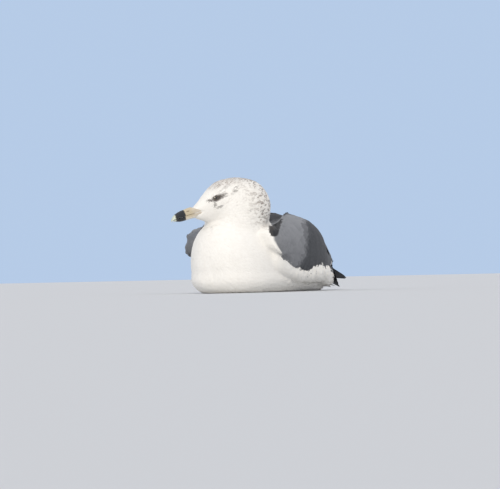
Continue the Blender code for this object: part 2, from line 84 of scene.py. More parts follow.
to_viewer = Vector((math.sin(VIEW_FROM), -math.cos(VIEW_FROM), 0))
to_right = Vector((math.cos(VIEW_FROM), math.sin(VIEW_FROM), 0))
aim = BREAST_FOOT + to_right * VIEW_AIM[0] + Vector((0, 0, VIEW_AIM[1]))
bpy.ops.object.camera_add(location=aim + to_viewer * VIEW_DISTANCE)
camera = bpy.context.object
camera.location.z = VIEW_HEIGHT
level = (aim - camera.location).to_track_quat("-Z", "Y").to_matrix()
camera.rotation_euler = (level @ Matrix.Rotation(-VIEW_ROLL, 3, "Z")).to_euler()
camera.data.sensor_width = SENSOR_WIDTH
camera.data.lens = SENSOR_WIDTH * VIEW_DISTANCE / VIEW_WIDTH
scene.camera = camera


def lamp(name, direction, softness, strength, colour):
    """A far, broad lamp that shines along direction."""
    bpy.ops.object.light_add(type="SUN", location=(0, 0, 1))
    light = bpy.context.object
    light.name = name
    light.rotation_euler = Vector(direction).to_track_quat("-Z", "Y").to_euler()
    light.data.angle = math.radians(softness)
    light.data.energy = strength
    light.data.color = colour


lamp("key_lamp", (-0.47, 0.90, -0.50), 12, 1.50, (1.0, 0.925, 0.815))
lamp("face_lamp", (0.40, 0.85, -0.12), 40, 0.24, (1.0, 0.95, 0.88))
lamp("top_lamp", (0.1, 0.3, -1.0), 60, 0.30, (0.92, 0.96, 1.0))
room = bpy.data.worlds.new("room_light")
scene.world = room
room.use_nodes = True
room_nodes, room_links = room.node_tree.nodes, room.node_tree.links
seen, fill = room_nodes["Background"], room_nodes.new("ShaderNodeBackground")
for light, colour, strength in ((seen, (0.47, 0.60, 0.80, 1), 1.0), (fill, (0.89, 0.92, 1.0, 1), 0.75)):
    light.inputs["Color"].default_value = colour
    light.inputs["Strength"].default_value = strength
choice = room_nodes.new("ShaderNodeMixShader")
path = room_nodes.new("ShaderNodeLightPath")
room_links.new(path.outputs["Is Camera Ray"], choice.inputs[0])
room_links.new(fill.outputs[0], choice.inputs[1])
room_links.new(seen.outputs[0], choice.inputs[2])
room_links.new(choice.outputs[0], room_nodes["World Output"].inputs[0])
scene.view_settings.view_transform = "Standard"

# ------------------------------------------------------------------ skin
# One unbroken skin over trunk, neck, head and folded wings, as a mounted bird's skin is drawn over
# its form. It lies under the coat by the feathers' depth and carries the same markings as they do.

MM = 0.001
FLESH = ("trunk", "neck", "head", "wing_left", "wing_right")
CORES = ("eye_left", "eye_right", "bill_upper", "bill_lower")  # keep the skin whole round these
CLOSING = 0.25 * MM  # closes the thin cuts between the solids
SKIN_VOXEL = 1.7 * MM
COAT_DEPTH = (0.45 * MM, 1.1 * MM)  # of the feathers on the face and on the body
LOWEST_SKIN = 0.9 * MM
SKIN_MOVE = (-1.5 * MM, 2.5 * MM)  # the furthest in and out at each turn
HEAD_TURN = math.radians(30)  # towards the bird's right
HEAD_PITCH = math.radians(12)  # bill down


def middle_of(name):
    low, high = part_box(name)
    return (low + high) / 2


head_forward = Vector(
    (
        -math.sin(HEAD_TURN) * math.cos(HEAD_PITCH),
        -math.cos(HEAD_TURN) * math.cos(HEAD_PITCH),
        -math.sin(HEAD_PITCH),
    )
)
head_left = Vector((math.cos(HEAD_TURN), -math.sin(HEAD_TURN), 0))
head_up = head_forward.cross(head_left)
head_turn = Matrix((head_forward, head_left, head_up))
head_middle = (middle_of("eye_left") + middle_of("eye_right")) / 2 + head_forward * 2 * MM


def on_head(forward, left, up):
    """A place given in millimetres forward, left and up from between the eyes."""
    return head_middle + (head_forward * forward + head_left * left + head_up * up) * MM


def head_place(points):
    """Millimetres forward, left and up from between the eyes, for an array of places."""
    return (points - np.array(head_middle)) @ np.array(head_turn).T / MM


def step(values, start, stop):
    """0 before start, 1 after stop and a soft change between."""
    share = np.clip((values - start) / (stop - start), 0, 1)
    return share * share * (3 - 2 * share)


def fall(values, start, stop):
    """1 before start, 0 after stop and a soft change between."""
    return 1 - step(values, start, stop)


def unit(rows):
    return rows / np.maximum(np.linalg.norm(rows, axis=-1), 1e-12)[..., None]


def away_from(place, points):
    """How far each of the points is from a place."""
    return np.linalg.norm(points - np.array(place), axis=1)


def select_only(*objects):
    bpy.ops.object.select_all(action="DESELECT")
    for obj in objects:
        obj.select_set(True)
    bpy.context.view_layer.objects.active = objects[0]


def edit_all(obj, tool, **settings):
    """Runs one editing tool on all of a mesh."""
    select_only(obj)
    bpy.ops.object.mode_set(mode="EDIT")
    bpy.ops.mesh.select_all(action="SELECT")
    tool(**settings)
    bpy.ops.object.mode_set(mode="OBJECT")


def merged_copy(name, new_name):
    """A copy of a CAD node with its loose triangles merged."""
    twin = nodes[name].copy()
    twin.data = nodes[name].data.copy()
    twin.name = new_name
    twin.parent = None
    for key in list(twin.keys()):
        del twin[key]
    scene.collection.objects.link(twin)
    twin.hide_render = False
    twin.hide_viewport = False
    edit_all(twin, bpy.ops.mesh.remove_doubles, threshold=0.000001)
    return twin


def apply_modifier(obj, kind, **settings):
    select_only(obj)
    modifier = obj.modifiers.new(kind.lower(), kind)
    for key, value in settings.items():
        setattr(modifier, key, value)
    bpy.ops.object.modifier_apply(modifier=modifier.name)


def smooth(obj, turns):
    apply_modifier(obj, "SMOOTH", factor=0.5, iterations=turns)


def remesh(obj, voxel, turns):
    """Gives a piece one even, closed mesh and smooths it."""
    apply_modifier(obj, "REMESH", mode="VOXEL", voxel_size=voxel)
    smooth(obj, turns)


def shade_round(obj):
    select_only(obj)
    bpy.ops.object.shade_smooth()


def read_rows(items, name, width, kind=np.float32):
    """One named value of each mesh item, as rows of width numbers."""
    flat = np.empty(len(items) * width, kind)
    items.foreach_get(name, flat)
    return flat.reshape(-1, width)


def corners_of(obj, what="co"):
    """The place of each corner of a mesh, or its normal."""
    return read_rows(obj.data.vertices, what, 3).astype(float)


def place_corners(obj, points):
    obj.data.vertices.foreach_set("co", points.astype(np.float32).ravel())
    obj.data.update()


def tube_faces(rings, around, closed):
    """The faces between rings of corners; in a closed tube the last ring meets the first."""
    pairs = [(ring * around, (ring + 1) % rings * around) for ring in range(rings - 1 + closed)]
    turns = [(k, (k + 1) % around) for k in range(around)]
    return [(near + k, near + m, far + m, far + k) for near, far in pairs for k, m in turns]


def closed_form(name, points, faces):
    """A new mesh object whose faces all look outward."""
    mesh = bpy.data.meshes.new(name)
    mesh.from_pydata([tuple(point) for point in points], [], faces)
    obj = bpy.data.objects.new(name, mesh)
    scene.collection.objects.link(obj)
    edit_all(obj, bpy.ops.mesh.normals_make_consistent, inside=False)
    return obj


def paint_with(obj, material):
    obj.data.materials.clear()
    obj.data.materials.append(material)


def put(obj, material, replaced=()):
    """Gives a piece its finish, hangs it under the root and hides the parts it stands for."""
    paint_with(obj, material)
    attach(obj, "root")
    if replaced:
        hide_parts(*replaced)


def curve_points(rows, count):
    """Points along a smooth curve through the rows."""
    table = np.array(rows, float)
    table = np.vstack([2 * table[0] - table[1], table, 2 * table[-1] - table[-2]])
    result = []
    for t in np.linspace(0, len(rows) - 1, count):
        i = min(int(t), len(rows) - 2)
        f = t - i
        a, b, c, d = table[i : i + 4]
        bend = (2 * a - 5 * b + 4 * c - d) * f**2 + (3 * b - a - 3 * c + d) * f**3
        result.append(0.5 * (2 * b + (c - a) * f + bend))
    return np.array(result)


# The puffed flank, which fills the step under the folded wing: X, Y, Z and radius
FLANK_ROWS = (
    (39.0, -124.0, 58.0, 13.5), (47.0, -121.0, 48.0, 15.0), (51.5, -109.0, 40.0, 16.0),
    (53.0, -88.0, 33.0, 15.0), (52.0, -50.0, 27.0, 15.5), (50.0, 0.0, 26.0, 16.0),
    (45.0, 40.0, 25.5, 15.5), (38.0, 75.0, 25.0, 14.0), (29.0, 100.0, 21.5, 11.5),
    (21.0, 119.0, 18.0, 7.5),
)
FLANK_RINGS = 30
FLANK_AROUND = 24


def flank_pad(side):
    turns = np.arange(FLANK_AROUND) / FLANK_AROUND * 2 * math.pi
    rings = []
    for x, y, z, radius in curve_points(FLANK_ROWS, FLANK_RINGS):
        across = side * (x + radius * np.cos(turns))
        rings.append(np.stack((across, np.full(FLANK_AROUND, y), z + radius * np.sin(turns)), 1) * MM)
    count = FLANK_RINGS * FLANK_AROUND
    faces = tube_faces(FLANK_RINGS, FLANK_AROUND, False)
    faces.append(tuple(range(FLANK_AROUND)))
    faces.append(tuple(range(count - 1, count - 1 - FLANK_AROUND, -1)))
    return closed_form("flank_form", np.concatenate(rings), faces)


parts = [merged_copy(name, name + "_form") for name in FLESH + CORES]
for part in parts:
    apply_modifier(part, "DISPLACE", strength=CLOSING, mid_level=0.0)
parts += [flank_pad(1), flank_pad(-1)]
select_only(*parts)
bpy.ops.object.join()
skin = bpy.context.object
skin.name = "skin"
skin.data.name = "skin"
remesh(skin, SKIN_VOXEL, 9)
# Only the largest separate body of the mesh stays
edit_all(skin, bpy.ops.mesh.separate, type="LOOSE")
bodies = sorted(bpy.context.selected_objects, key=lambda body: len(body.data.vertices))
for body in bodies[:-1]:
    bpy.data.objects.remove(body)
skin = bodies[-1]
skin.name = "skin"
points = corners_of(skin)
form_trees = {}
for name in FLESH:
    mesh = nodes[name].data
    form_trees[name] = BVHTree.FromPolygons(
        [v.co for v in mesh.vertices], [tuple(p.vertices) for p in mesh.polygons]
    )


def depth_inside(points, reach):
    """How far inside the solids each place is: below 0 outside them, and at most reach."""
    found = np.full(len(points), -reach)
    for name in FLESH:
        for i, point in enumerate(points):
            hit = form_trees[name].find_nearest(Vector(point), reach)
            if hit[0] is not None:
                found[i] = max(found[i], (hit[0] - Vector(point)).dot(hit[1]))
    return found


# The smoothing drew the skin in: it goes out again to its depth under the solids' surface
LORE_SINK = 0.9 * MM  # deeper in front of the eyes
CROWN_SINK = 0.9 * MM  # deeper on the rear of the crown
NAPE_RISE = 3.9 * MM  # fuller at the nape
SEARCH = 6 * MM  # the solids' surface is looked for within this
MOVE_SHARE = 0.8
for _ in range(2):
    from_eyes = away_from(head_middle, points)
    forward, left, up = head_place(points).T
    wanted = COAT_DEPTH[0] + (COAT_DEPTH[1] - COAT_DEPTH[0]) * step(from_eyes, 0.025, 0.07)
    wanted = wanted + LORE_SINK * step(forward, 4.0, 16.0) * fall(from_eyes, 0.030, 0.045)
    nape_share = fall(up, -6.0, 23.0) * fall(from_eyes, 0.065, 0.088)
    nape_share = nape_share * (1 - 0.65 * step(np.abs(left), 10.0, 27.0))
    wanted = wanted - NAPE_RISE * step(-forward, 18.0, 42.0) * nape_share
    wanted = wanted + CROWN_SINK * step(up, 14.0, 24.0) * step(-forward, 6.0, 16.0)
    inside = depth_inside(points, SEARCH)
    out = np.where(inside > SKIN_MOVE[0], np.clip(inside - wanted, *SKIN_MOVE), -wanted - CLOSING)
    place_corners(skin, points + corners_of(skin, "normal") * (out * MOVE_SHARE)[:, None])
    smooth(skin, 2)
    points = corners_of(skin)

# The weight of the body spreads its foot, and the vent's down fills the space under the tail
FOOT_SPREAD = (5.0, 1.8)  # millimetres, and how much more on the right
VENT_DROP = 7.0 * MM
FOOT_DROP = 1.2 * MM
normals = corners_of(skin, "normal")
x, y, z = points.T
spread = (FOOT_SPREAD[0] + FOOT_SPREAD[1] * (x < 0)) * MM * fall(z, 0.006, 0.030) * step(-y, 0.02, 0.08)
points = points + normals * np.array((1.0, 1.0, 0.0)) * spread[:, None]
drop = VENT_DROP * step(y, 0.035, 0.080) * fall(y, 0.092, 0.136) * fall(z, 0.006, 0.036)
points[:, 2] -= drop + FOOT_DROP * fall(z, 0.002, 0.012)
# The flank's down lies in soft, shallow waves
wave = np.sin(330 * y + 180 * z + 0.6) * np.sin(250 * z - 140 * y + 60 * x + 1.3)
wave = wave * step(y, -0.095, -0.060) * fall(z, 0.026, 0.040) * step(z, 0.004, 0.012)
points += normals * (MM * wave)[:, None]
# The far shoulder lies a little lower and further in than the near one, and its edge has a notch
SHOULDER_DROP = 4.5 * MM
SHOULDER_IN = 7.0 * MM
NOTCH_AT = (-67.0, -130.0, 70.0)
NOTCH_DEPTH = 4.5 * MM
NOTCH_INWARD = (0.891, 0.454, 0.0)
points[:, 2] -= SHOULDER_DROP * step(-x, 0.034, 0.044) * step(-y, 0.080, 0.100) * step(z, 0.068, 0.084)
notch = (points - np.array(NOTCH_AT) * MM) * np.array((0.6, 0.6, 1.0))
notch = NOTCH_DEPTH * fall(np.linalg.norm(notch, axis=1), 0.001, 0.008)
points += np.outer(notch, NOTCH_INWARD)
points[:, 0] += SHOULDER_IN * step(-x, 0.046, 0.060) * step(-y, 0.085, 0.110) * fall(z, 0.042, 0.056)
# The mantle's feathers fill the dip beside the neck on the near side
MANTLE_RISE = 3.0 * MM
filled = step(y, -0.088, -0.062) * fall(y, -0.030, 0.004) * step(x, 0.004, 0.018)
points[:, 2] += MANTLE_RISE * filled * fall(x, 0.022, 0.034) * step(z, 0.085, 0.093)
points[:, 2] = np.maximum(points[:, 2], LOWEST_SKIN)

# The hollow between the neck and the shoulder on each side: X, Y, Z and depth along it
HOLLOW = (
    (40.0, -73.0, 98.0, 0.5), (47.0, -85.0, 95.0, 4.0), (52.0, -99.0, 92.0, 9.0),
    (56.5, -111.0, 88.0, 11.0), (59.5, -121.0, 84.0, 10.0), (61.0, -127.0, 80.0, 7.0),
    (62.0, -131.0, 76.0, 2.5),
)
HOLLOW_RADIUS = 8.2 * MM
FAR_HOLLOW = 0.55  # depth on the side that the head is turned to, as a share


def hollow_at(points):
    """How deep the hollow is at each place, and how far off the near hollow's middle line, in metres."""
    deep, off = np.zeros(len(points)), np.ones(len(points))
    for side, share in ((1, 1.0), (-1, FAR_HOLLOW)):
        for x, y, z, sunk in curve_points(HOLLOW, 40):
            away = away_from(np.array((side * x, y, z)) * MM, points)
            deep = np.maximum(deep, sunk * MM * share * fall(away, 0.15 * HOLLOW_RADIUS, HOLLOW_RADIUS))
            off = np.minimum(off, away + (sunk < 4) * 0.006 + (side < 0))
    return deep, off


sunk, off_hollow = hollow_at(points)
points = points - np.outer(sunk, (0, 0, 1))

# The bill's horn begins behind the forehead's feathers: its edge runs back and down from the ridge
HORN_EDGE = (  # up and forward
    (-24.0, 29.0), (-19.5, 24.0), (-14.0, 18.5), (-11.0, 20.5), (-7.0, 28.0), (-4.5, 31.5), (0.0, 34.5),
)
HORN_HALF = ((14.0, 9.6), (19.0, 8.3), (23.0, 7.2), (28.0, 6.2), (34.0, 5.3), (64.0, 5.3))


def through(rows, values):
    """Reads a table of pairs at each value."""
    table = np.array(rows)
    return np.interp(values, table[:, 0], table[:, 1])


def past_horn_edge(forward, left, up):
    """How far forward of the feathers' edge a place beside the bill is, in millimetres."""
    near = (np.abs(left) < 14) & (up < 3) & (up > -27)
    return np.where(near, forward - through(HORN_EDGE, up), -50.0)


forward, left, up = head_place(points).T
past = step(past_horn_edge(forward, left, up), -3.0, 1.5)
narrowed = np.minimum(np.abs(left), through(HORN_HALF, forward) - 0.7)
shift = (np.sign(left) * narrowed - left) * past
points = points + np.outer(shift, head_left) * MM
place_corners(skin, points)
smooth(skin, 2)
edit_all(skin, bpy.ops.uv.smart_project, angle_limit=math.radians(66), island_margin=0.004)
skin.data.uv_layers.active.name = "skin_unwrap"
shade_round(skin)

# Markings, worked out from the place on the bird for skin and feathers alike
REACH = 0.02  # how far from a node its nearness is measured


def nearness(name, points):
    """How far each place is from a CAD node, up to REACH."""
    found = np.full(len(points), REACH)
    tree = form_trees[name]
    for i, point in enumerate(points):
        hit = tree.find_nearest(Vector(point), REACH)
        if hit[3] is not None:
            found[i] = hit[3]
    return found


BILL_SOURCE = np.array(on_head(46, 0, -13))  # the feathers fan out from here
MANTLE_FRONT = -0.079  # the grey of the back begins here, behind the neck
MANTLE_FOOT = 0.072
WING_EDGE = (  # Y and the height above which the wing's grey shows
    (-0.137, 0.066), (-0.131, 0.060), (-0.122, 0.052), (-0.110, 0.044), (-0.098, 0.038),
    (-0.086, 0.031), (-0.060, 0.026), (-0.039, 0.025), (-0.015, 0.030), (0.008, 0.034),
    (0.036, 0.035), (0.052, 0.030), (0.070, 0.023), (0.110, 0.020), (0.140, 0.020),
)
WING_FRONT = (  # Z, and the Y behind which the wing's grey shows
    (0.040, -0.110), (0.054, -0.125), (0.061, -0.130), (0.067, -0.133),
    (0.079, -0.134), (0.084, -0.120), (0.091, -0.097), (0.096, -0.080),
)
WING_CORNER = 0.064  # further in than this the shoulder's front stays white
VEIN_WIDTH = 6.2  # millimetres between the dark lines of crown and nape
# Dusky marks on each side of the head: forward, up, half length, half height, slant, strength
FACE_MARKS = (
    (8.8, -2.0, 3.0, 2.0, 10, 0.85), (-1.4, -0.4, 9.4, 4.0, -18, 0.96),
    (5.2, -8.0, 1.9, 4.0, 20, 0.60), (0.5, -11.8, 4.8, 1.7, -15, 0.55),
    (-21.0, 3.0, 7.5, 1.5, -40, 0.55), (-12.0, 9.0, 8.0, 1.4, -20, 0.32),
    (-43.0, -28.0, 1.6, 6.5, 0, 0.70), (-47.0, -35.0, 5.0, 1.8, 15, 0.45),
    # The two round marks low on the back of the neck are winter smudges and also painted shade under the
    # neck's lower edge.
    (-54.0, -46.0, 9.0, 9.0, 0, 0.34), (-56.0, -43.0, 3.0, 5.0, 0, 0.50),
    (-50.0, -16.0, 7.0, 1.4, -35, 0.45), (-52.0, -5.0, 7.0, 1.4, -35, 0.45),
    (-30.0, -22.0, 5.0, 1.2, -30, 0.28), (-6.0, 12.5, 7.0, 1.3, -16, 0.30),
)


def markings(points):
    """Strength of the grey, the dusky marks, the streaks, the brown wash and the veins at each place."""
    wing = np.minimum(nearness("wing_left", points), nearness("wing_right", points))
    body = nearness("trunk", points)
    x, y, z = points.T
    corner = 0.8 * np.maximum(WING_CORNER - np.abs(x), 0) * fall(z, 0.079, 0.086)
    front = np.where(x > 0, through(WING_FRONT, z) + corner, -0.150)
    edge = through(WING_EDGE, y)
    edge = np.where(x > 0, edge, np.minimum(edge, 0.046))
    reached = np.where(x > 0, step(y, -0.128, -0.118), step(-x, 0.046, 0.052))
    on_side = step(np.abs(x), 0.034, 0.040) * fall(z, 0.066, 0.070) * reached
    on_wing = np.maximum(step(body - wing, -0.0012, 0.0008) * (wing < 0.0195), on_side)
    on_wing = on_wing * step(y, front - 0.0015, front + 0.0015) * step(z, edge - 0.001, edge + 0.001)
    # Beside the neck the grey begins further forward, where the painted shadow behind the neck darkens it.
    mantle_front = MANTLE_FRONT - 0.014 * step(np.abs(x), 0.016, 0.028)
    mantle = step(y, mantle_front - 0.003, mantle_front + 0.003) * step(z, MANTLE_FOOT, MANTLE_FOOT + 0.006)
    mantle = mantle * fall(z - 0.35 * (y - MANTLE_FRONT), 0.100, 0.104)
    rear = 1 - step(y, 0.122, 0.130) * fall(z, 0.026, 0.034)
    grey = np.maximum(on_wing, mantle) * rear
    forward, left, up = head_place(points).T
    on_head_share = fall(away_from(on_head(-28, 3, -6), points), 0.044, 0.072)
    crown = step(up, 6.0, 14.0) * fall(forward, 2.0, 12.0)
    nape = fall(forward, -58.0, -18.0) * step(up, -54.0, -34.0)
    dusk = np.maximum(0.12 * crown, 0.06 * nape) * on_head_share
    for ahead, high, long, tall, slant, strength in FACE_MARKS:
        a, b = forward - ahead, up - high
        turned = math.radians(slant)
        along = (a * math.cos(turned) + b * math.sin(turned)) / long
        across = (b * math.cos(turned) - a * math.sin(turned)) / tall
        spot = strength * fall(np.hypot(along, across), 0.60, 1.20) * step(np.abs(left), 5.0, 8.0)
        dusk = np.maximum(dusk, spot)
    far = away_from(BILL_SOURCE, points) / MM
    around = np.arctan2(np.abs(left), up + 16) * 34
    zigzag = around + 4.2 * np.abs(far / 7.5 % 1 - 0.5) * 2
    broken = 0.5 + 0.5 * np.sin(2 * math.pi * far / 10.5 + 2.4 * np.floor(zigzag / VEIN_WIDTH))
    veins = step(0.5 + 0.5 * np.cos(2 * math.pi * zigzag / VEIN_WIDTH), 0.40, 0.72) * step(broken, 0.10, 0.40)
    dusk = np.maximum(dusk, (0.42 * nape + 0.12 * crown) * veins * on_head_share)
    vein = (0.88 * nape + 0.24 * crown) * veins * on_head_share
    streak = np.maximum(0.66 * crown, 0.22 * nape) * on_head_share
    streak = np.maximum(streak, 0.20 * on_head_share * step(up, -20.0, -8.0) * fall(forward, 2.0, 12.0))
    wash = (0.24 * crown + 0.34 * step(up, 13.0, 20.0) * fall(forward, -6.0, 6.0)) * on_head_share
    wash = np.maximum(wash, 0.14 * nape * on_head_share)
    return {"grey": grey, "dusk": dusk, "streak": streak, "wash": wash, "vein": vein}


def put_attribute(obj, name, values):
    made = obj.data.attributes.new(name, "FLOAT", "POINT")
    made.data.foreach_set("value", values.astype(np.float32))


# The paint group mixes one feather's colours from its markings, and gives the barbs' height
paint = bpy.data.node_groups.new("plumage_paint", "ShaderNodeTree")
PAINT_INPUTS = ("Grey", "Black", "Streak", "Dusk", "Deep", "Tip", "Along", "Across", "Shade")
for word in PAINT_INPUTS:
    paint.interface.new_socket(word, in_out="INPUT", socket_type="NodeSocketFloat")
paint.interface.new_socket("Colour", in_out="OUTPUT", socket_type="NodeSocketColor")
paint.interface.new_socket("Height", in_out="OUTPUT", socket_type="NodeSocketFloat")


def feed(tree, socket, value):
    """Gives a socket a number, a colour or what another socket gives."""
    if isinstance(value, (int, float)):
        socket.default_value = value
    elif isinstance(value, tuple):
        socket.default_value = (*value, 1)
    else:
        tree.links.new(value, socket)


def math_node(tree, operation, first, second=None, clamp=False):
    """One sum; each side is a socket or a number."""
    made = tree.nodes.new("ShaderNodeMath")
    made.operation = operation
    made.use_clamp = clamp
    feed(tree, made.inputs[0], first)
    if second is not None:
        feed(tree, made.inputs[1], second)
    return made.outputs[0]


def mix_node(tree, share, first, second):
    """Two colours mixed; each is a socket or three numbers."""
    made = tree.nodes.new("ShaderNodeMix")
    made.data_type = "RGBA"
    for index, value in ((0, share), (6, first), (7, second)):
        feed(tree, made.inputs[index], value)
    return made.outputs[2]


def ramp_node(tree, value, start, stop):
    """0 below start and 1 above stop."""
    made = tree.nodes.new("ShaderNodeMapRange")
    made.interpolation_type = "SMOOTHSTEP"
    for word, given_value in (("Value", value), ("From Min", start), ("From Max", stop)):
        feed(tree, made.inputs[word], given_value)
    return made.outputs["Result"]


def noise_node(tree, scale, detail):
    made = tree.nodes.new("ShaderNodeTexNoise")
    made.inputs["Scale"].default_value = scale
    made.inputs["Detail"].default_value = detail
    tree.links.new(tree.nodes.new("ShaderNodeTexCoord").outputs["Object"], made.inputs["Vector"])
    return made.outputs[0]

def times(tree, first, second, clamp=False):
    return math_node(tree, "MULTIPLY", first, second, clamp)


def plus(tree, first, second, clamp=False):
    return math_node(tree, "ADD", first, second, clamp)


def minus(tree, first, second, clamp=False):
    return math_node(tree, "SUBTRACT", first, second, clamp)


given = paint.nodes.new("NodeGroupInput").outputs
made_out = paint.nodes.new("NodeGroupOutput").inputs
cloud = noise_node(paint, 60.0, 3.0)
# Each feather is painted a little darker towards its root, as painted shade under the ones lying over it; the
# rest of its tone varies at random.
tone = times(paint, given["Along"], 0.35)
tone = plus(paint, tone, times(paint, given["Shade"], 0.30))
tone = plus(paint, tone, times(paint, cloud, 0.50), clamp=True)
white = mix_node(paint, tone, (0.83, 0.80, 0.745), (0.92, 0.90, 0.855))
grey = mix_node(paint, tone, (0.168, 0.175, 0.188), (0.272, 0.278, 0.292))
painted_shade_grey = mix_node(paint, tone, (0.016, 0.019, 0.024), (0.043, 0.047, 0.055))
# Deep darkens the grey towards slate: painted shade on the wing's rear.
grey = mix_node(paint, given["Deep"], grey, painted_shade_grey)
black = mix_node(paint, tone, (0.006, 0.006, 0.008), (0.024, 0.024, 0.028))
colour = mix_node(paint, given["Grey"], white, grey)
# Black is the primaries' own black, and also painted shadow in the hollow and behind the neck.
colour = mix_node(paint, given["Black"], colour, black)
off_shaft = math_node(paint, "ABSOLUTE", given["Across"])
middle = minus(paint, 1.35, times(paint, off_shaft, 1.5), clamp=True)
shaft = times(paint, middle, ramp_node(paint, given["Along"], 0.05, 0.55))
shaft = times(paint, shaft, given["Streak"], clamp=True)
colour = mix_node(paint, shaft, colour, (0.290, 0.222, 0.182))
colour = mix_node(paint, given["Dusk"], colour, (0.060, 0.047, 0.040))
tip_start = minus(paint, 1.0, given["Tip"])
tip_end = plus(paint, tip_start, 0.03)
curved = math_node(paint, "POWER", off_shaft, 2.0)
curved = plus(paint, given["Along"], times(paint, curved, 0.07))
tip = times(paint, ramp_node(paint, curved, tip_start, tip_end), 0.95)
tip = times(paint, tip, math_node(paint, "GREATER_THAN", given["Tip"], 0.001))
colour = mix_node(paint, tip, colour, white)
paint.links.new(colour, made_out["Colour"])
slant = times(paint, off_shaft, 38.0)
barb = minus(paint, times(paint, given["Along"], 170.0), slant)
barb = times(paint, math_node(paint, "SINE", barb), 0.2)
rough_cloud = noise_node(paint, 900.0, 2.0)
paint.links.new(plus(paint, barb, rough_cloud), made_out["Height"])


def attribute_node(tree, name):
    made = tree.nodes.new("ShaderNodeAttribute")
    made.attribute_name = name
    return made.outputs["Fac"]


def finish(tree, shader, sockets, height=None, relief=0.0, strength=1.0):
    """Feeds a shader's sockets, and its relief from a height."""
    for word, value in sockets.items():
        feed(tree, shader.inputs[word], value)
    if height is not None:
        bump = tree.nodes.new("ShaderNodeBump")
        bump.inputs["Distance"].default_value = relief
        bump.inputs["Strength"].default_value = strength
        tree.links.new(height, bump.inputs["Height"])
        tree.links.new(bump.outputs["Normal"], shader.inputs["Normal"])


def plumage(name, roughness, sheen, relief):
    """A feather finish that reads each feather's markings from the mesh."""
    material, tree, shader = plain_shader(name)
    made = tree.nodes.new("ShaderNodeGroup")
    made.node_tree = paint
    for word in PAINT_INPUTS:
        tree.links.new(attribute_node(tree, word.lower()), made.inputs[word])
    sockets = {"Base Color": made.outputs["Colour"], "Roughness": roughness, "Sheen Weight": sheen}
    sockets.update({"Sheen Roughness": 0.6, "Specular IOR Level": 0.25})
    finish(tree, shader, sockets, made.outputs["Height"], relief, 0.6)
    return material


plumages = {
    "white_plumage": plumage("white_plumage", 0.80, 0.10, 0.00012),
    "grey_plumage": plumage("grey_plumage", 0.70, 0.06, 0.00015),
    "black_plumage": plumage("black_plumage", 0.48, 0.0, 0.00010),
}
WING_SHADE_EDGE = (  # Z, and the Y behind which the wing's grey is painted darker, as painted shade
    (0.028, -0.074), (0.038, -0.070), (0.047, -0.057), (0.067, -0.050), (0.088, -0.032), (0.100, 0.010),
)


def painted_wing_shade(points):
    """Painted shade: how far the grey is painted darker, behind the scapulars and low on the folded wing."""
    x, y, z = points.T
    side = np.maximum(step(np.abs(x), 0.012, 0.045), step(y, 0.030, 0.075))
    behind = y - through(WING_SHADE_EDGE, z)
    low = 0.24 * fall(z, 0.046, 0.078) * step(np.abs(x), 0.030, 0.050)
    return np.maximum((0.26 + 0.70 * side) * step(behind, -0.014, 0.016 + 0.04 * (1 - side)), low)


def painted_back_shadow(points):
    """Painted shadow where the back dips behind the neck: how near to black its grey is painted."""
    x, y, z = points.T
    inner = fall(np.abs(x), 0.028, 0.042) * (0.7 + 0.3 * step(x, 0.004, 0.014))
    return step(z, 0.080, 0.088) * (1 - 0.2 * step(y, -0.040, -0.024) - 0.8 * step(y, -0.024, 0.004)) * inner


skin_points = corners_of(skin)
skin_marks = markings(skin_points)
# The hollow's bare floor is painted near black: painted shadow. The wing's rear is painted darker: painted
# shade.
skin_marks["black"] = 0.96 * fall(off_hollow, 0.82 * HOLLOW_RADIUS, 0.95 * HOLLOW_RADIUS)
skin_marks["deep"] = painted_wing_shade(skin_points)
for word, level in (("tip", 0.0), ("along", 0.25), ("across", 0.0), ("shade", 0.4)):
    skin_marks[word] = np.full(len(skin_points), level)
for word in PAINT_INPUTS:
    put_attribute(skin, word.lower(), skin_marks[word.lower()])
put(skin, plumages["white_plumage"], FLESH)

# ------------------------------------------------------------------ small feathers of the face
# Short, stiff vanes lie back from the bill round the eyes, as on the real bird's face. Each is a
# thin closed shell, rooted under the one in front of it.

skin.data.calc_loop_triangles()
skin_triangles = read_rows(skin.data.loop_triangles, "vertices", 3, np.int32)
triangle_loops = read_rows(skin.data.loop_triangles, "loops", 3, np.int32)
loop_uv = read_rows(skin.data.uv_layers.active.data, "uv", 2)
skin_tree = BVHTree.FromPolygons([tuple(p) for p in skin_points], [tuple(t) for t in skin_triangles])
triangle_corners = skin_points[skin_triangles]
triangle_normals = unit(corners_of(skin, "normal")[skin_triangles].mean(axis=1))
first, second, third = (triangle_corners[:, i] for i in range(3))
triangle_areas = 0.5 * np.linalg.norm(np.cross(second - first, third - first), axis=1)
triangle_middles = triangle_corners.mean(axis=1)
triangle_marks = markings(triangle_middles)
nearest_flesh = np.argmin([nearness(name, triangle_middles) for name in FLESH], axis=0)
on_wings = nearest_flesh >= FLESH.index("wing_left")
head_axes = head_place(triangle_middles)
EYE_OPENING = 7.3 * MM
TAILWARD = np.array((0.0, 1.0, -0.22))
TRIES = 3.2  # places tried for each square of the spacing


def from_nearer_eye(points):
    return np.min([away_from(middle_of("eye_" + word), points) for word in ("left", "right")], axis=0)


in_bill = past_horn_edge(*head_axes.T) > 0.3
triangle_off = off_hollow[skin_triangles].mean(axis=1)
# The bill, the eye openings and the hollow's floor stay bare; the hollow's floor shows its painted shadow.
bare = in_bill | (from_nearer_eye(triangle_middles) < EYE_OPENING) | (triangle_off < 0.88 * HOLLOW_RADIUS)


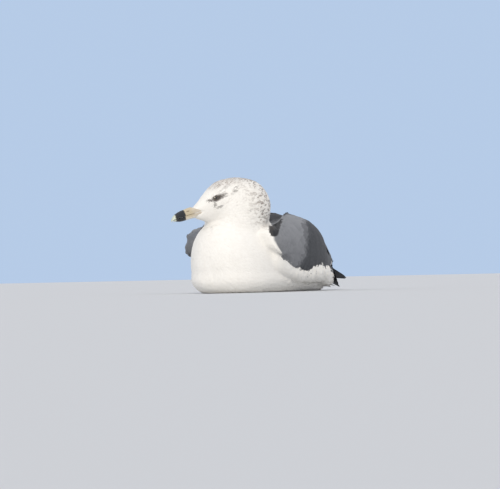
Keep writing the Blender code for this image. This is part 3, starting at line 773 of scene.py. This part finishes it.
def scatter(chosen, spacing, seed):
    """Places on the skin about spacing apart: which triangle each is on, the place and its unwrap."""
    chance = np.random.default_rng(seed)
    indices = np.flatnonzero(chosen)
    areas = triangle_areas[indices]
    tries = int(areas.sum() / spacing**2 * TRIES)
    picked = indices[chance.choice(len(indices), tries, p=areas / areas.sum())]
    a, b = chance.random((2, tries))
    over = a + b > 1
    a[over], b[over] = 1 - a[over], 1 - b[over]
    shares = np.stack((1 - a - b, a, b), axis=1)[:, :, None]
    places = (triangle_corners[picked] * shares).sum(axis=1)
    unwrapped = (loop_uv[triangle_loops[picked]] * shares).sum(axis=1)
    cells = np.floor(places / spacing).astype(int).tolist()
    kept, grid, limit = [], {}, spacing**2
    steps = [(i, j, k) for i in (-1, 0, 1) for j in (-1, 0, 1) for k in (-1, 0, 1)]
    for n, ((x, y, z), (cx, cy, cz)) in enumerate(zip(places.tolist(), cells)):
        close = (spot for i, j, k in steps for spot in grid.get((cx + i, cy + j, cz + k), ()))
        if all((x - qx) ** 2 + (y - qy) ** 2 + (z - qz) ** 2 >= limit for qx, qy, qz in close):
            kept.append(n)
            grid.setdefault((cx, cy, cz), []).append((x, y, z))
    return picked[kept], places[kept], unwrapped[kept]


def lie_of(points):
    """Which way the feathers point: away from the bill on the head, towards the tail on the body."""
    body_share = step(away_from(head_middle, points), 0.045, 0.115)[:, None]
    return unit(points - BILL_SOURCE) * (1 - body_share) + TAILWARD * body_share


STATIONS = np.array((0.0, 0.2, 0.45, 0.7, 0.88, 1.0))  # along each feather, with its widths there
SOFT_WIDTHS = np.array((0.35, 0.80, 1.0, 0.98, 0.78, 0.36))
ROUND_WIDTHS = np.array((0.35, 0.75, 0.98, 1.0, 0.84, 0.50))
FREE_FROM = 0.104  # behind this the feathers' ends run straight on, past the body's end


def walk(places, triangles, lies, lengths, lifts, sink, bend, stations):
    """The line of each feather over the skin, and the skin's normals along it."""
    normals = triangle_normals[triangles]
    here, heading = places.copy(), lies.copy()
    line, line_normals = [], []
    before = 0.0
    for share in stations:
        here = here + unit(heading) * (lengths * (share - before))[:, None]
        if share > 0:
            for i, point in enumerate(here):
                if point[1] <= FREE_FROM:
                    found = skin_tree.find_nearest(Vector(point))
                    here[i] = found[0]
                    normals[i] = triangle_normals[found[2]] * 0.6 + normals[i] * 0.4
            normals = unit(normals)
        heading = unit(heading - normals * (heading * normals).sum(axis=1)[:, None])
        height = lifts * share**bend - sink * (1 - share) ** 3
        line.append(here + normals * height[:, None])
        line_normals.append(normals.copy())
        before = share
    return np.stack(line, axis=1), np.stack(line_normals, axis=1)


FLOOR_GAP = (0.00015, 0.0007)  # a vane's least height and what is added by chance


def build_vanes(name, line, normals, half_widths, notches, unwrapped, patch, lanes, camber=0.10, thick=0.05):
    """A mesh of closed vanes. Lanes run from -1 to 1 across, and notches set their ends back."""
    count, stations = line.shape[:2]
    each = stations * len(lanes)
    headings = unit(np.gradient(line, axis=1))
    across = unit(np.cross(headings, normals))
    ups = unit(np.cross(across, headings))
    spread = half_widths[:, :, None] * lanes
    points = line[:, :, None, :] + across[:, :, None, :] * spread[..., None]
    drop = camber * half_widths[:, :, None] * lanes**2 - thick * half_widths[:, :, None] * (1 - lanes**2)
    points = points - ups[:, :, None, :] * drop[..., None]
    points[:, -1] -= headings[:, -1, None, :] * notches[..., None]
    points[:, -2] -= headings[:, -2, None, :] * notches[..., None] * 0.35
    points = points.reshape(-1, 3)
    lowest = FLOOR_GAP[0] + FLOOR_GAP[1] * np.repeat(np.random.default_rng(5).random(count), each)
    points[:, 2] = np.maximum(points[:, 2], lowest)

    quads = np.array(tube_faces(stations, len(lanes), False))
    last, ends = each - len(lanes), []
    for k in range(1, len(lanes) - 1):
        ends += [(0, k + 1, k), (last, last + k, last + k + 1)]
    ends = np.array(ends)
    offsets = (np.arange(count) * each)[:, None, None]
    loops = np.concatenate([(quads + offsets).ravel(), (ends + offsets).ravel()])
    totals = np.repeat((4, 3), (len(quads) * count, len(ends) * count))
    starts = np.concatenate([[0], np.cumsum(totals)[:-1]])
    mesh = bpy.data.meshes.new(name)
    mesh.vertices.add(len(points))
    mesh.vertices.foreach_set("co", points.astype(np.float32).ravel())
    mesh.loops.add(len(loops))
    mesh.loops.foreach_set("vertex_index", loops.astype(np.int32))
    mesh.polygons.add(len(totals))
    mesh.polygons.foreach_set("loop_start", starts.astype(np.int32))
    mesh.polygons.foreach_set("loop_total", totals.astype(np.int32))
    mesh.update(calc_edges=True)
    obj = bpy.data.objects.new(name, mesh)
    scene.collection.objects.link(obj)

    runs = np.linalg.norm(np.diff(line, axis=1), axis=2)
    far = np.concatenate([np.zeros((count, 1)), np.cumsum(runs, axis=1)], axis=1)
    alongs = (far / far[:, -1:])[:, :, None] * np.ones(len(lanes))
    acrosses = np.broadcast_to(lanes, alongs.shape)
    put_attribute(obj, "along", alongs.ravel())
    put_attribute(obj, "across", acrosses.ravel())
    cells = unwrapped[:, None, None, :] + patch * np.stack((acrosses * 0.5, alongs - 0.5), axis=-1)
    uv = cells.reshape(-1, 2)[loops]
    mesh.uv_layers.new(name="OFBake").data.foreach_set("uv", uv.astype(np.float32).ravel())
    select_only(obj)
    bpy.ops.object.shade_smooth_by_angle(angle=math.radians(50))
    return obj, each


LANES = np.array((-1.0, -0.5, 0.0, 0.5, 1.0))
END_NOTCH = np.array((0.20, 0.05, 0.0, 0.05, 0.20))  # of the length, for a rounded end
END_FRAY = np.array((1.0, 1.3, 0.4, 1.3, 1.0))
PATCH = 0.003
VARIED = 0.14  # sizes differ by this share either way


def mark_vanes(obj, each, places, ends, chance, grey=None):
    """Gives each vane the markings of its root's place, and the painted shade and shadow of its end's."""
    count = len(places)
    marks = markings(places)
    streak = marks["streak"]
    streaked = chance.random(count) < streak * 0.75
    streak = streaked * chance.uniform(0.40, 0.90, count) * np.clip(streak * 1.6, 0, 1)
    streak = np.maximum(streak, marks.pop("wash") * chance.uniform(0.4, 1.0, count))
    marks["streak"] = np.maximum(streak, marks.pop("vein"))
    marks["dusk"] = marks["dusk"] * chance.uniform(0.75, 1.0, count)
    marks["grey"] = marks["grey"] > 0.5 if grey is None else np.full(count, grey)
    # Painted shadow behind the neck, on grey vanes only, and painted shade on the wing's rear
    marks["black"] = 0.93 * painted_back_shadow(ends) * marks["grey"]
    marks["tip"] = np.zeros(count)
    marks["deep"] = painted_wing_shade(ends)
    marks["shade"] = chance.random(count)
    for word, values in marks.items():
        put_attribute(obj, word, np.repeat(values.astype(float), each))


def coat(
    name, chosen, spacing, length, width, lift, ragged, seed, slot="white_plumage", lie=lie_of, stray=0.14,
    sizes=None, raised=None, sink=0.5, bend=1.1, shape=SOFT_WIDTHS, grey=None,
):
    """A stretch of coat: one vane at each scattered root. Lengths are in millimetres."""
    triangles, places, unwrapped = scatter(chosen, spacing * MM, seed)
    chance = np.random.default_rng(seed + 1)
    count = len(places)
    lies, normals = lie(places), triangle_normals[triangles]
    swing = np.tan(chance.normal(0, stray, count))
    lies = unit(lies - normals * (lies * normals).sum(axis=1)[:, None])
    lies = unit(lies + np.cross(normals, lies) * swing[:, None])
    size = sizes(places) if sizes else np.ones(count)
    lengths = length * MM * size * (1 + VARIED * chance.uniform(-1, 1, count))
    halves = width * MM / 2 * np.sqrt(size) * (1 + VARIED * chance.uniform(-1, 1, count))
    lifts = lift * MM * size * (1 + VARIED * chance.uniform(-1, 1, count))
    chance.random(count)  # drawn and not used; the later draws follow on from it
    if raised:
        lifts = lifts + raised(places)
    line, line_normals = walk(places, triangles, lies, lengths, lifts, sink * MM, bend, STATIONS)
    notches = (END_NOTCH + ragged * chance.uniform(0, 1, (count, 5)) * END_FRAY) * lengths[:, None]
    half_widths = halves[:, None] * shape
    obj, each = build_vanes(name, line, line_normals, half_widths, notches, unwrapped, PATCH, LANES)
    mark_vanes(obj, each, places, line[:, -2], chance, grey)
    put(obj, plumages[slot])


ahead = head_axes[:, 0]
flesh_head = (nearest_flesh == FLESH.index("head")) & ~bare
BEHIND_EYE, BEHIND_EAR = -8, -34  # millimetres forward of the eyes


def face_size(points):
    """Feathers are smallest by the bill and grow towards the nape."""
    by_eye = 0.5 + 0.5 * step(from_nearer_eye(points), 0.007, 0.012)
    return (0.55 + 0.45 * fall(head_place(points)[:, 0], -5.0, 28.0)) * by_eye


coat(
    "face_feathers", flesh_head & (ahead > BEHIND_EYE), spacing=1.0, length=4.4, width=1.5, lift=0.42,
    ragged=0.08, seed=11, sizes=face_size, sink=0.25, stray=0.12,
)

# ------------------------------------------------------------------ feathers of the crown and nape
# Soft, narrow feathers streaked brown along their shafts, as in winter dress, thickest on the nape.
# They stand a little off the head, each with its root under the one in front of it.

FLUFF = 1.7 * MM


def fluffed(points):
    forward, _, up = head_place(points).T
    off = FLUFF * step(-forward, 6.0, 34.0) * step(up, -40.0, -14.0)
    return off * (1 - 0.7 * step(up, 12.0, 22.0))


coat(
    "crown_feathers", flesh_head & (ahead <= BEHIND_EYE) & (ahead > BEHIND_EAR), spacing=1.25, length=7.5,
    width=2.7, lift=0.7, ragged=0.10, seed=21, sink=0.3, raised=fluffed, bend=0.8,
)
coat(
    "nape_feathers", flesh_head & (ahead <= BEHIND_EAR), spacing=1.8, length=10.0, width=4.2, lift=0.8,
    ragged=0.10, seed=25, sink=0.3, raised=fluffed, bend=0.8,
)
coat(
    "neck_feathers", (nearest_flesh == FLESH.index("neck")) & ~bare, spacing=1.7, length=10, width=4.0,
    lift=0.8, ragged=0.08, seed=31, sink=0.4, raised=fluffed, bend=0.9,
)

# ------------------------------------------------------------------ breast and belly
# Dense white body feathers, loose at their ends, that run down the breast and back along the belly.
# They are shorter beside the shoulders and round the hollow's rim.

flesh_trunk = nearest_flesh == FLESH.index("trunk")
middle_x, middle_y, middle_z = triangle_middles.T
under_wing_end = (middle_y > 0.100) & (middle_z > 0.027)
wing_rim = (middle_y > through(WING_FRONT, middle_z) - 0.0035) & (middle_x > 0.045) & (middle_z > 0.046)
wing_rim |= (triangle_off < 1.15 * HOLLOW_RADIUS) & (middle_x > 0.052)
is_grey = triangle_marks["grey"] >= 0.5
white_body = (flesh_trunk | on_wings) & ~is_grey & ~bare & ~under_wing_end & ~wing_rim
under = middle_z < 4.0 * MM
SIDE_FROM = -0.105


def rim_size(points):
    """Feathers round the hollow's rim are short."""
    return 1 - 0.7 * fall(hollow_at(points)[1], 0.008, 0.020)


def body_size(points):
    """Body feathers are shortest beside the shoulders and longest towards the tail."""
    x, y, z = points.T
    by_shoulder = step(z, 0.040, 0.054) * fall(z, 0.100, 0.110) * step(np.abs(x), 0.028, 0.040)
    by_wing = by_shoulder * step(y - through(WING_FRONT, z), -0.018, -0.004)
    sizes = (0.72 + 0.28 * step(y, -0.120, -0.060)) * (1 - 0.42 * by_shoulder) * (1 - 0.12 * by_wing)
    return np.minimum(sizes, rim_size(points))


coat(
    "breast_feathers", white_body & ~under & (middle_y < SIDE_FROM), spacing=1.75, length=15, width=5.0,
    lift=0.55, ragged=0.06, seed=41, stray=0.10, sink=0.3, sizes=body_size, bend=0.8,
)
coat(
    "side_feathers", white_body & ~under & (middle_y >= SIDE_FROM), spacing=2.2, length=18, width=5.0,
    lift=1.0, ragged=0.12, seed=51, stray=0.15, sink=0.4, sizes=body_size, bend=0.9,
)
coat(
    "belly_feathers", white_body & under, spacing=4.2, length=19, width=8.0, lift=1.2, ragged=0.15, seed=61,
)

# ------------------------------------------------------------------ back and folded wings
# Grey feathers in overlapping rows: mantle and scapulars over the back, and the coverts of the wings.
# The saddle's are smaller, on the slopes and the ridge beside the dip behind the neck.

grey_body = (flesh_trunk | on_wings) & is_grey & ~bare & (middle_y < 0.099)
MANTLE_ABOVE = 0.070


def wing_lie(points):
    return np.broadcast_to(np.array((0.0, 1.0, -0.12)), points.shape).copy()


def wing_size(points):
    """The wing's feathers are small along its front edge and grow to the rear."""
    return np.minimum(rim_size(points), 0.42 + 0.58 * step(points[:, 1], -0.140, -0.085))


GREY = {"slot": "grey_plumage", "lie": wing_lie, "grey": 1.0, "shape": ROUND_WIDTHS}
aside = np.abs(middle_x)
inner_slope = (triangle_normals[:, 0] * np.sign(middle_x) < -0.30) & (middle_z > 0.080)
inner_slope |= (aside > 0.014) & (aside < 0.043) & (middle_z > 0.095) & (middle_y < 0.02)
coat(
    "saddle_feathers", grey_body & inner_slope, spacing=2.0, length=9, width=5.0, lift=0.5, ragged=0.03,
    seed=75, stray=0.07, sizes=rim_size, **GREY,
)
coat(
    "mantle_feathers", grey_body & ~inner_slope & (middle_z > MANTLE_ABOVE), spacing=2.9, length=20,
    width=10.0, lift=1.2, ragged=0.03, seed=71, stray=0.07, sizes=wing_size, **GREY,
)
coat(
    "wing_coverts", grey_body & (middle_z <= MANTLE_ABOVE), spacing=2.9, length=20, width=9.5, lift=1.1,
    ragged=0.03, seed=81, stray=0.06, sizes=wing_size, **GREY,
)
scapular = grey_body & (middle_z > 0.046) & (middle_z < 0.089)
scapular &= middle_y < through(WING_SHADE_EDGE, middle_z) - 0.022
scapular &= (triangle_off > 0.017) & (middle_y > -0.108 + 0.008 * (middle_x < 0))
coat(
    "scapulars", scapular, spacing=7.0, length=28, width=14.0, lift=1.9, ragged=0.02, seed=85, stray=0.05,
    bend=0.9, sizes=wing_size, **GREY,
)

# ------------------------------------------------------------------ flank feathers
# Long, loose white feathers of the flank, which lap up over the front and lower edge of the wing.
# They rise as they run back, and stand off the wing most at the middle of its edge.

FLANK_RISE = 0.9 * MM
below_edge = through(WING_EDGE, middle_y) - middle_z
lap = white_body & (below_edge < 11 * MM) & (below_edge > -5 * MM) & (aside > 0.025)
lap &= (middle_y > -0.088) & (middle_y < 0.038) & ((middle_x > 0) | (middle_z < 0.048))


def flank_lie(points):
    rise = 0.06 + 0.12 * step(points[:, 1], -0.060, -0.010)
    return np.stack((np.zeros(len(points)), np.ones(len(points)), rise), axis=1)


def flank_raised(points):
    return FLANK_RISE * step(points[:, 1], -0.110, -0.060) * fall(points[:, 1], -0.005, 0.025)


def flank_size(points):
    """The last feathers of the flank are shorter."""
    return 1 - 0.4 * step(points[:, 1], -0.010, 0.036)


coat(
    "flank_feathers", lap, spacing=2.1, length=18, width=5.4, lift=1.0, ragged=0.09, seed=91,
    lie=flank_lie, stray=0.11, grey=0.0, bend=1.2, raised=flank_raised, sizes=flank_size,
)

# ------------------------------------------------------------------ long feathers of wing and tail
# Each is a flat, gently bowed vane on a shaft. Black primaries with white tips reach past the tail,
# grey tertials with broad white ends cover their roots, and twelve white feathers make the tail.

QUILL_LANES = np.array((-1.0, -0.72, -0.38, -0.06, 0.0, 0.06, 0.38, 0.72, 1.0))
QUILL_STATIONS = 15
QUILL_THICK = 0.045  # of the half width
QUILL_PATCH = 0.9  # of its cell of the unwrap
PRIMARY_ROOT = Vector((36.0, 69.0, 42.0))
LEFT_TIP = Vector((3.5, 184.0, 6.5))  # X is towards the feather's own side
RIGHT_TIP = Vector((-6.0, 212.0, 16.0))
PRIMARY_STEPS = (Vector((-1.6, 1.0, 1.2)), Vector((0.9, -10.0, 3.0)))  # from one to the next
PLAIN_TIPS = 4  # the longest primaries have no white at their ends
PRIMARIES = 8
TERTIALS = 5
TAIL_FEATHERS = 12


def place_quills(name, line, normals, half_widths, camber, slot, rows, replaced=()):
    """Long feathers as one piece; each row gives one feather's markings."""
    count = len(line)
    side = math.ceil(math.sqrt(count))
    cells = np.stack((np.arange(count) % side + 0.5, np.arange(count) // side + 0.5), axis=1) / side
    notches = np.zeros((count, len(QUILL_LANES)))
    obj, each = build_vanes(
        name, line, normals, half_widths, notches, cells, QUILL_PATCH / side, QUILL_LANES, camber, QUILL_THICK
    )
    for word in ("grey", "black", "deep", "tip", "dusk", "streak"):
        put_attribute(obj, word, np.repeat([float(row.get(word, 0)) for row in rows], each))
    put_attribute(obj, "shade", np.repeat(np.random.default_rng(count).random(count), each))
    put(obj, plumages[slot], replaced)


def quills(name, rows, slot, replaced):
    """Free feathers; a row gives a feather's root, end, bow, tilts, half width, roundness and marks."""
    shares = np.linspace(0, 1, QUILL_STATIONS) ** 0.85
    base = 0.35 + 0.65 * np.minimum(shares / 0.35, 1)
    lines, normals, halves = [], [], []
    for row in rows:
        root, end, bow = (np.array(row[word], float) for word in ("root", "end", "bow"))
        lines.append(root + (end - root) * shares[:, None] + bow * np.sin(np.pi * shares)[:, None])
        run = unit(end - root)
        level = unit(np.cross(run, (0, 0, 1)))
        start, stop = row["tilts"]
        tilts = np.radians(start + (stop - start) * shares)[:, None]
        normals.append(np.cross(level, run) * np.cos(tilts) + level * np.sin(tilts))
        halves.append(row["half"] * base * np.sqrt(np.clip(1 - shares ** row["round"], 0.02, 1)))
    place_quills(
        name, np.array(lines) * MM, unit(np.array(normals)), np.array(halves) * MM, 0.12, slot, rows, replaced
    )


TERTIAL_HALF = 12.0
TERTIAL_SHAPE = np.array((0.5, 0.75, 0.92, 1.0, 1.0, 1.0, 1.0, 0.97, 0.90, 0.72, 0.28))
# The tertials' deep mark is painted shade at the wing's rear; their white ends are their own.
TERTIAL_MARKS = {"grey": 1.0, "deep": 0.75, "tip": 0.07}
for word, side, longest in (("left", 1, LEFT_TIP), ("right", -1, RIGHT_TIP)):
    # The tertials lie over the coat from rough roots, bent to the body under them
    numbers = np.arange(TERTIALS)
    roots = [Vector((side * (50 - 9.0 * n), 46 - 4 * n, 48 + 9 * n)) * MM for n in numbers]
    found = [skin_tree.find_nearest(root) for root in roots]
    line, normals = walk(
        np.array([hit[0] for hit in found]), np.array([hit[2] for hit in found]),
        unit(np.array([(side * -0.14, 1.0, -0.30)] * TERTIALS)), (70 - 6.0 * numbers) * MM,
        (1.4 + 0.5 * numbers) * MM, 0.5 * MM, 0.8, np.linspace(0, 1, len(TERTIAL_SHAPE)),
    )
    half_widths = np.tile(TERTIAL_HALF * TERTIAL_SHAPE * MM, (TERTIALS, 1))
    place_quills(
        "tertials_" + word, line, normals, half_widths, 0.10, "grey_plumage", [TERTIAL_MARKS] * TERTIALS
    )
    rows = []
    for n in range(PRIMARIES):
        near = side > 0
        root = PRIMARY_ROOT + PRIMARY_STEPS[0] * n + Vector((0, 0, -5.0 + 0.6 * n)) * near
        end = longest + PRIMARY_STEPS[1] * n + Vector((0, 4.0 * n, 0.6 * n)) * near
        rows.append(
            {
                "root": (side * root.x, root.y, root.z),
                "end": (side * end.x, end.y, end.z),
                "bow": (side * 4.0, 0, -5.0 + 2.0 * n if near else 6.5),
                "tilts": (side * 44, side * 26),
                "half": 11.5,
                "round": 4.0,
                "black": 1,
                "tip": 0.0 if n < PLAIN_TIPS else 0.035,
            }
        )
    quills("primaries_" + word, rows, "black_plumage", ("wing_tip_" + word,))
rows = []
for n in range(TAIL_FEATHERS):
    across = (n + 0.5) / TAIL_FEATHERS * 2 - 1
    rows.append(
        {
            "root": (across * 12, 88, 20 - 2.0 * across**2 + 0.8 * (1 - abs(across))),
            "end": (across * 20, 150 - 5.0 * across**2, 8.6 - 3.6 * across**2 + 1.2 * (1 - abs(across))),
            "bow": (0, 0, 1.2),
            "tilts": (across * 10, across * 14),
            "half": 7.2,
            "round": 9.0,
        }
    )
quills("tail_feathers", rows, "white_plumage", ("tail",))

# ------------------------------------------------------------------ bill
# A horn sheath over the jaw bones, in an upper and a lower half: dull pinkish yellow at its base, a
# black ring, and a pale greenish tip. The nostril is a slit through the upper half.

BILL_VOXEL = 0.38 * MM
NOSTRIL = (37.5, 4.2, -8.6)  # forward, left and up
NOSTRIL_SIZE = (3.0, 0.65)
NOSTRIL_DEPTH = 0.8
RING = (42.5, 56.0)
HORN_FRONT = 34  # behind this the sheath widens, from the solids' half width to its own
SOLID_HALF = 5.45
BILL_MIDDLE = -12  # up
TUCK = 0.30  # how far the rear is drawn in, as a share


def horn_finish():
    """Colour runs along the bill, by the distance forward of the eyes."""
    material, tree, shader = plain_shader("bill_horn")
    wander = times(tree, noise_node(tree, 320.0, 2.0), 3.0)
    wander = minus(tree, wander, 1.5)
    reach = plus(tree, attribute_node(tree, "reach"), wander)
    base = mix_node(tree, noise_node(tree, 240.0, 3.0), (0.50, 0.43, 0.33), (0.64, 0.57, 0.47))
    yellow = times(tree, ramp_node(tree, reach, 26.0, 36.0), 0.55)
    base = mix_node(tree, yellow, base, (0.52, 0.43, 0.25))
    base = mix_node(tree, attribute_node(tree, "keel"), base, (0.74, 0.70, 0.62))
    tip = ramp_node(tree, reach, RING[1] - 0.7, RING[1] + 0.7)
    ring = ramp_node(tree, reach, RING[0] - 0.8, RING[0] + 0.8)
    ring = minus(tree, ring, tip, clamp=True)
    colour = mix_node(tree, tip, base, (0.56, 0.60, 0.50))
    colour = mix_node(tree, ring, colour, (0.014, 0.016, 0.018))
    # The nostril's slit is painted darker: painted shade in its opening.
    colour = mix_node(tree, attribute_node(tree, "slit"), colour, (0.30, 0.24, 0.17))
    sockets = {"Base Color": colour, "Roughness": 0.34, "Coat Weight": 0.2, "Coat Roughness": 0.2}
    finish(tree, shader, sockets, noise_node(tree, 700.0, 4.0), 0.00008, 0.5)
    return material


horn = horn_finish()
for name in ("bill_upper", "bill_lower"):
    half = merged_copy(name, name + "_sheath")
    remesh(half, BILL_VOXEL, 14)
    spots = corners_of(half)
    forward, left, up = head_place(spots).T
    wider = np.where(forward > HORN_FRONT, 1.0, through(HORN_HALF, forward) / SOLID_HALF)
    spots = spots + np.outer(left * (wider - 1), head_left) * MM
    # The sheath's rear is tucked under the feathers
    tucked = step(-past_horn_edge(forward, left * wider, np.minimum(up, 2.9)), 0.6, 3.5)
    spots = spots - np.outer(left * wider * TUCK * tucked, head_left) * MM
    spots = spots + np.outer(-(up - BILL_MIDDLE) * TUCK * tucked * (up > BILL_MIDDLE), head_up) * MM
    place_corners(half, spots)
    left = left * wider
    slit, keel = np.zeros(len(spots)), np.zeros(len(spots))
    if name == "bill_upper":
        # The nostril is pressed in a little and painted darker there, as painted shade.
        a = (forward - NOSTRIL[0]) / NOSTRIL_SIZE[0]
        b = (up - NOSTRIL[2] - 0.06 * (forward - NOSTRIL[0])) / NOSTRIL_SIZE[1]
        slit = fall(np.hypot(a, b), 0.5, 1.1) * step(np.abs(left), 2.0, 3.0)
        inward = np.outer(-np.sign(left), head_left) * MM
        place_corners(half, spots + inward * (slit * NOSTRIL_DEPTH)[:, None])
    else:
        keel = 0.75 * fall(up, -17.5, -15.0)
    for word, values in (("reach", forward), ("slit", slit), ("keel", keel * (forward < RING[0]))):
        put_attribute(half, word, values)
    shade_round(half)
    put(half, horn, (name,))

# ------------------------------------------------------------------ eyes
# Glass eyes, as a mounted bird has, half shut: lids of bare grey skin close over each eyeball from
# above and below and leave a narrow slit.

EYE_RADIUS = 6.4
IRIS = (0.20, 0.62)  # where the pupil ends and the iris ends, as shares of the eyeball's half width
LID_RADIUS = 6.75
LID_REACH = 6.7
SLIT_HALF = (5.6, 2.6, 2.2)  # half length, height above and below the middle
EYE_SINK = 0.8 * MM
EYE_SLOPE = math.radians(-14)
EYE_OUT = (0.16, 0.06)  # forward and up for each 1 sideways
LID_AROUND, LID_RINGS = 56, 12
LID_THICK = 0.45
LID_TRIES = 4000
LID_FEATHER_GAP = 0.42
LID_FEATHER = (1.5, 0.36)  # length and half width
LID_NOTCH = (0.3, 0.08, 0, 0.08, 0.3)
CLEAR_FRONT = 0.05  # stands out by this share


def eye_frame(side):
    """The eye's own frame: X forward, Y up and Z out of the head."""
    out = (head_forward * EYE_OUT[0] + head_left * side + head_up * EYE_OUT[1]).normalized()
    ahead = head_forward * math.cos(EYE_SLOPE) + head_up * math.sin(EYE_SLOPE)
    ahead = (ahead - out * ahead.dot(out)).normalized()
    above = out.cross(ahead) if side > 0 else ahead.cross(out)
    return np.array((ahead, -above if above.z < 0 else above, out))


def glass_finish():
    material, tree, shader = plain_shader("eye_glass")
    rim = attribute_node(tree, "rim")
    iris = mix_node(tree, noise_node(tree, 900.0, 3.0), (0.045, 0.034, 0.020), (0.13, 0.10, 0.06))
    iris = mix_node(tree, ramp_node(tree, rim, 0.50, IRIS[1]), iris, (0.03, 0.022, 0.015))
    colour = mix_node(tree, ramp_node(tree, rim, IRIS[0], IRIS[0] + 0.04), (0.004, 0.004, 0.004), iris)
    sockets = {"Base Color": colour, "Roughness": 0.06, "Coat Weight": 1.0, "Coat Roughness": 0.02}
    finish(tree, shader, sockets)
    return material


def lid_finish():
    material, tree, shader = plain_shader("lid_skin")
    colour = mix_node(tree, noise_node(tree, 500.0, 3.0), (0.50, 0.46, 0.42), (0.72, 0.68, 0.63))
    colour = mix_node(tree, attribute_node(tree, "edge"), colour, (0.030, 0.022, 0.018))
    sockets = {"Base Color": colour, "Roughness": 0.62}
    finish(tree, shader, sockets, noise_node(tree, 1500.0, 2.0), 0.0001)
    return material


glass, lid_skin = glass_finish(), lid_finish()
for word, side in (("left", 1), ("right", -1)):
    axes = eye_frame(side)
    centre = np.array(middle_of("eye_" + word)) - axes[2] * EYE_SINK
    bpy.ops.mesh.primitive_uv_sphere_add(segments=48, ring_count=32, radius=EYE_RADIUS * MM)
    ball = bpy.context.object
    ball.name = "eyeball_" + word
    local = corners_of(ball)
    # The clear front stands out
    local[:, 2] *= 1 + CLEAR_FRONT * step(local[:, 2] / (EYE_RADIUS * MM), 0.75, 0.95)
    place_corners(ball, local @ (axes * np.array(((1,), (side,), (1,)))) + centre)
    tilt = np.arccos(np.clip(unit(corners_of(ball) - centre) @ axes[2], -1, 1))
    put_attribute(ball, "rim", np.sin(np.minimum(tilt, math.pi / 2)))
    shade_round(ball)
    put(ball, glass, ("eye_" + word,))

    turns = np.arange(LID_AROUND) / LID_AROUND * 2 * math.pi
    cosines, sines = np.cos(turns), np.sin(turns)
    rim_x = SLIT_HALF[0] * cosines
    rim_y = np.where(sines > 0, *SLIT_HALF[1:]) * np.sign(sines) * np.abs(sines) ** 1.25
    lid_rows, edges = [], []
    for ring in range(LID_RINGS):
        share = ring / (LID_RINGS - 1)
        x = rim_x + (LID_REACH * cosines - rim_x) * share
        y = rim_y + (LID_REACH * sines - rim_y) * share
        fold = 0.22 * math.sin(math.pi * min(share * 2.2, 1))
        z = np.sqrt(np.maximum((LID_RADIUS + fold) ** 2 - x**2 - y**2, 0.2))
        lid_rows.append(np.stack((x, y, z), axis=1))
        edges.append(np.full(LID_AROUND, 1 - min(share * 3.0, 1)))
    under_rows = [row - unit(row) * LID_THICK for row in lid_rows]
    places = np.concatenate(lid_rows + under_rows[::-1]) * MM @ axes + centre
    lids = closed_form("lids_" + word, places, tube_faces(LID_RINGS * 2, LID_AROUND, True))
    put_attribute(lids, "edge", np.concatenate(edges + edges[::-1]))
    bpy.ops.object.shade_smooth_by_angle(angle=math.radians(60))
    put(lids, lid_skin)

    # Tiny feathers grow on the lids up to their bare rims
    chance = np.random.default_rng(101)
    spots = chance.uniform(-LID_REACH, LID_REACH, (LID_TRIES, 2))
    high = np.where(spots[:, 1] > 0, *SLIT_HALF[1:]) + 0.9
    slit = np.hypot(spots[:, 0] / (SLIT_HALF[0] + 1.2), spots[:, 1] / high)
    spots = spots[(np.hypot(*spots.T) < LID_REACH - 0.2) & (slit > 1)]
    kept = []
    for spot in spots:
        if all(math.dist(spot, other) > LID_FEATHER_GAP for other in kept):
            kept.append(spot)
    spots = np.array(kept)
    ways = unit(np.stack((np.full(len(spots), -1.0), 0.35 * np.sign(spots[:, 1])), axis=1))
    line = []
    for share in STATIONS:
        spread = spots + ways * LID_FEATHER[0] * share
        height = (LID_RADIUS + 0.08 + 0.30 * share) ** 2 - (spread**2).sum(axis=1)
        line.append(np.column_stack((spread, np.sqrt(np.maximum(height, 1.0)))))
    line = np.stack(line, axis=1) * MM @ axes + centre
    found = [skin_tree.find_nearest(Vector(row[0]))[2] for row in line]
    cells = loop_uv[triangle_loops[found]].mean(axis=1)
    half_widths = LID_FEATHER[1] * MM * chance.uniform(0.8, 1.2, (len(spots), 1)) * SOFT_WIDTHS
    notches = np.array(LID_NOTCH) * MM * np.ones((len(spots), 1))
    name = "lid_feathers_" + word
    obj, each = build_vanes(name, line, unit(line - centre), half_widths, notches, cells, PATCH, LANES)
    mark_vanes(obj, each, line[:, 0], line[:, -1], chance)
    put(obj, plumages["white_plumage"])

# ------------------------------------------------------------------ legs and feet
# Shanks and webbed feet of greenish yellow scaly skin, folded flat under the belly. They are the
# solids themselves, with a finish of small scales between dark seams.

leg_skin, tree, shader = plain_shader("leg_skin")
scales = tree.nodes.new("ShaderNodeTexVoronoi")
scales.feature = "DISTANCE_TO_EDGE"
scales.inputs["Scale"].default_value = 650.0
tree.links.new(tree.nodes.new("ShaderNodeTexCoord").outputs["Object"], scales.inputs["Vector"])
seam = ramp_node(tree, scales.outputs["Distance"], 0.02, 0.12)
colour = mix_node(tree, noise_node(tree, 120.0, 3.0), (0.40, 0.36, 0.14), (0.60, 0.55, 0.28))
colour = mix_node(tree, seam, (0.18, 0.16, 0.08), colour)
finish(tree, shader, {"Base Color": colour, "Roughness": 0.5}, seam, 0.0002)
for name in ("leg_left", "leg_right", "foot_left", "foot_right"):
    paint_with(nodes[name], leg_skin)
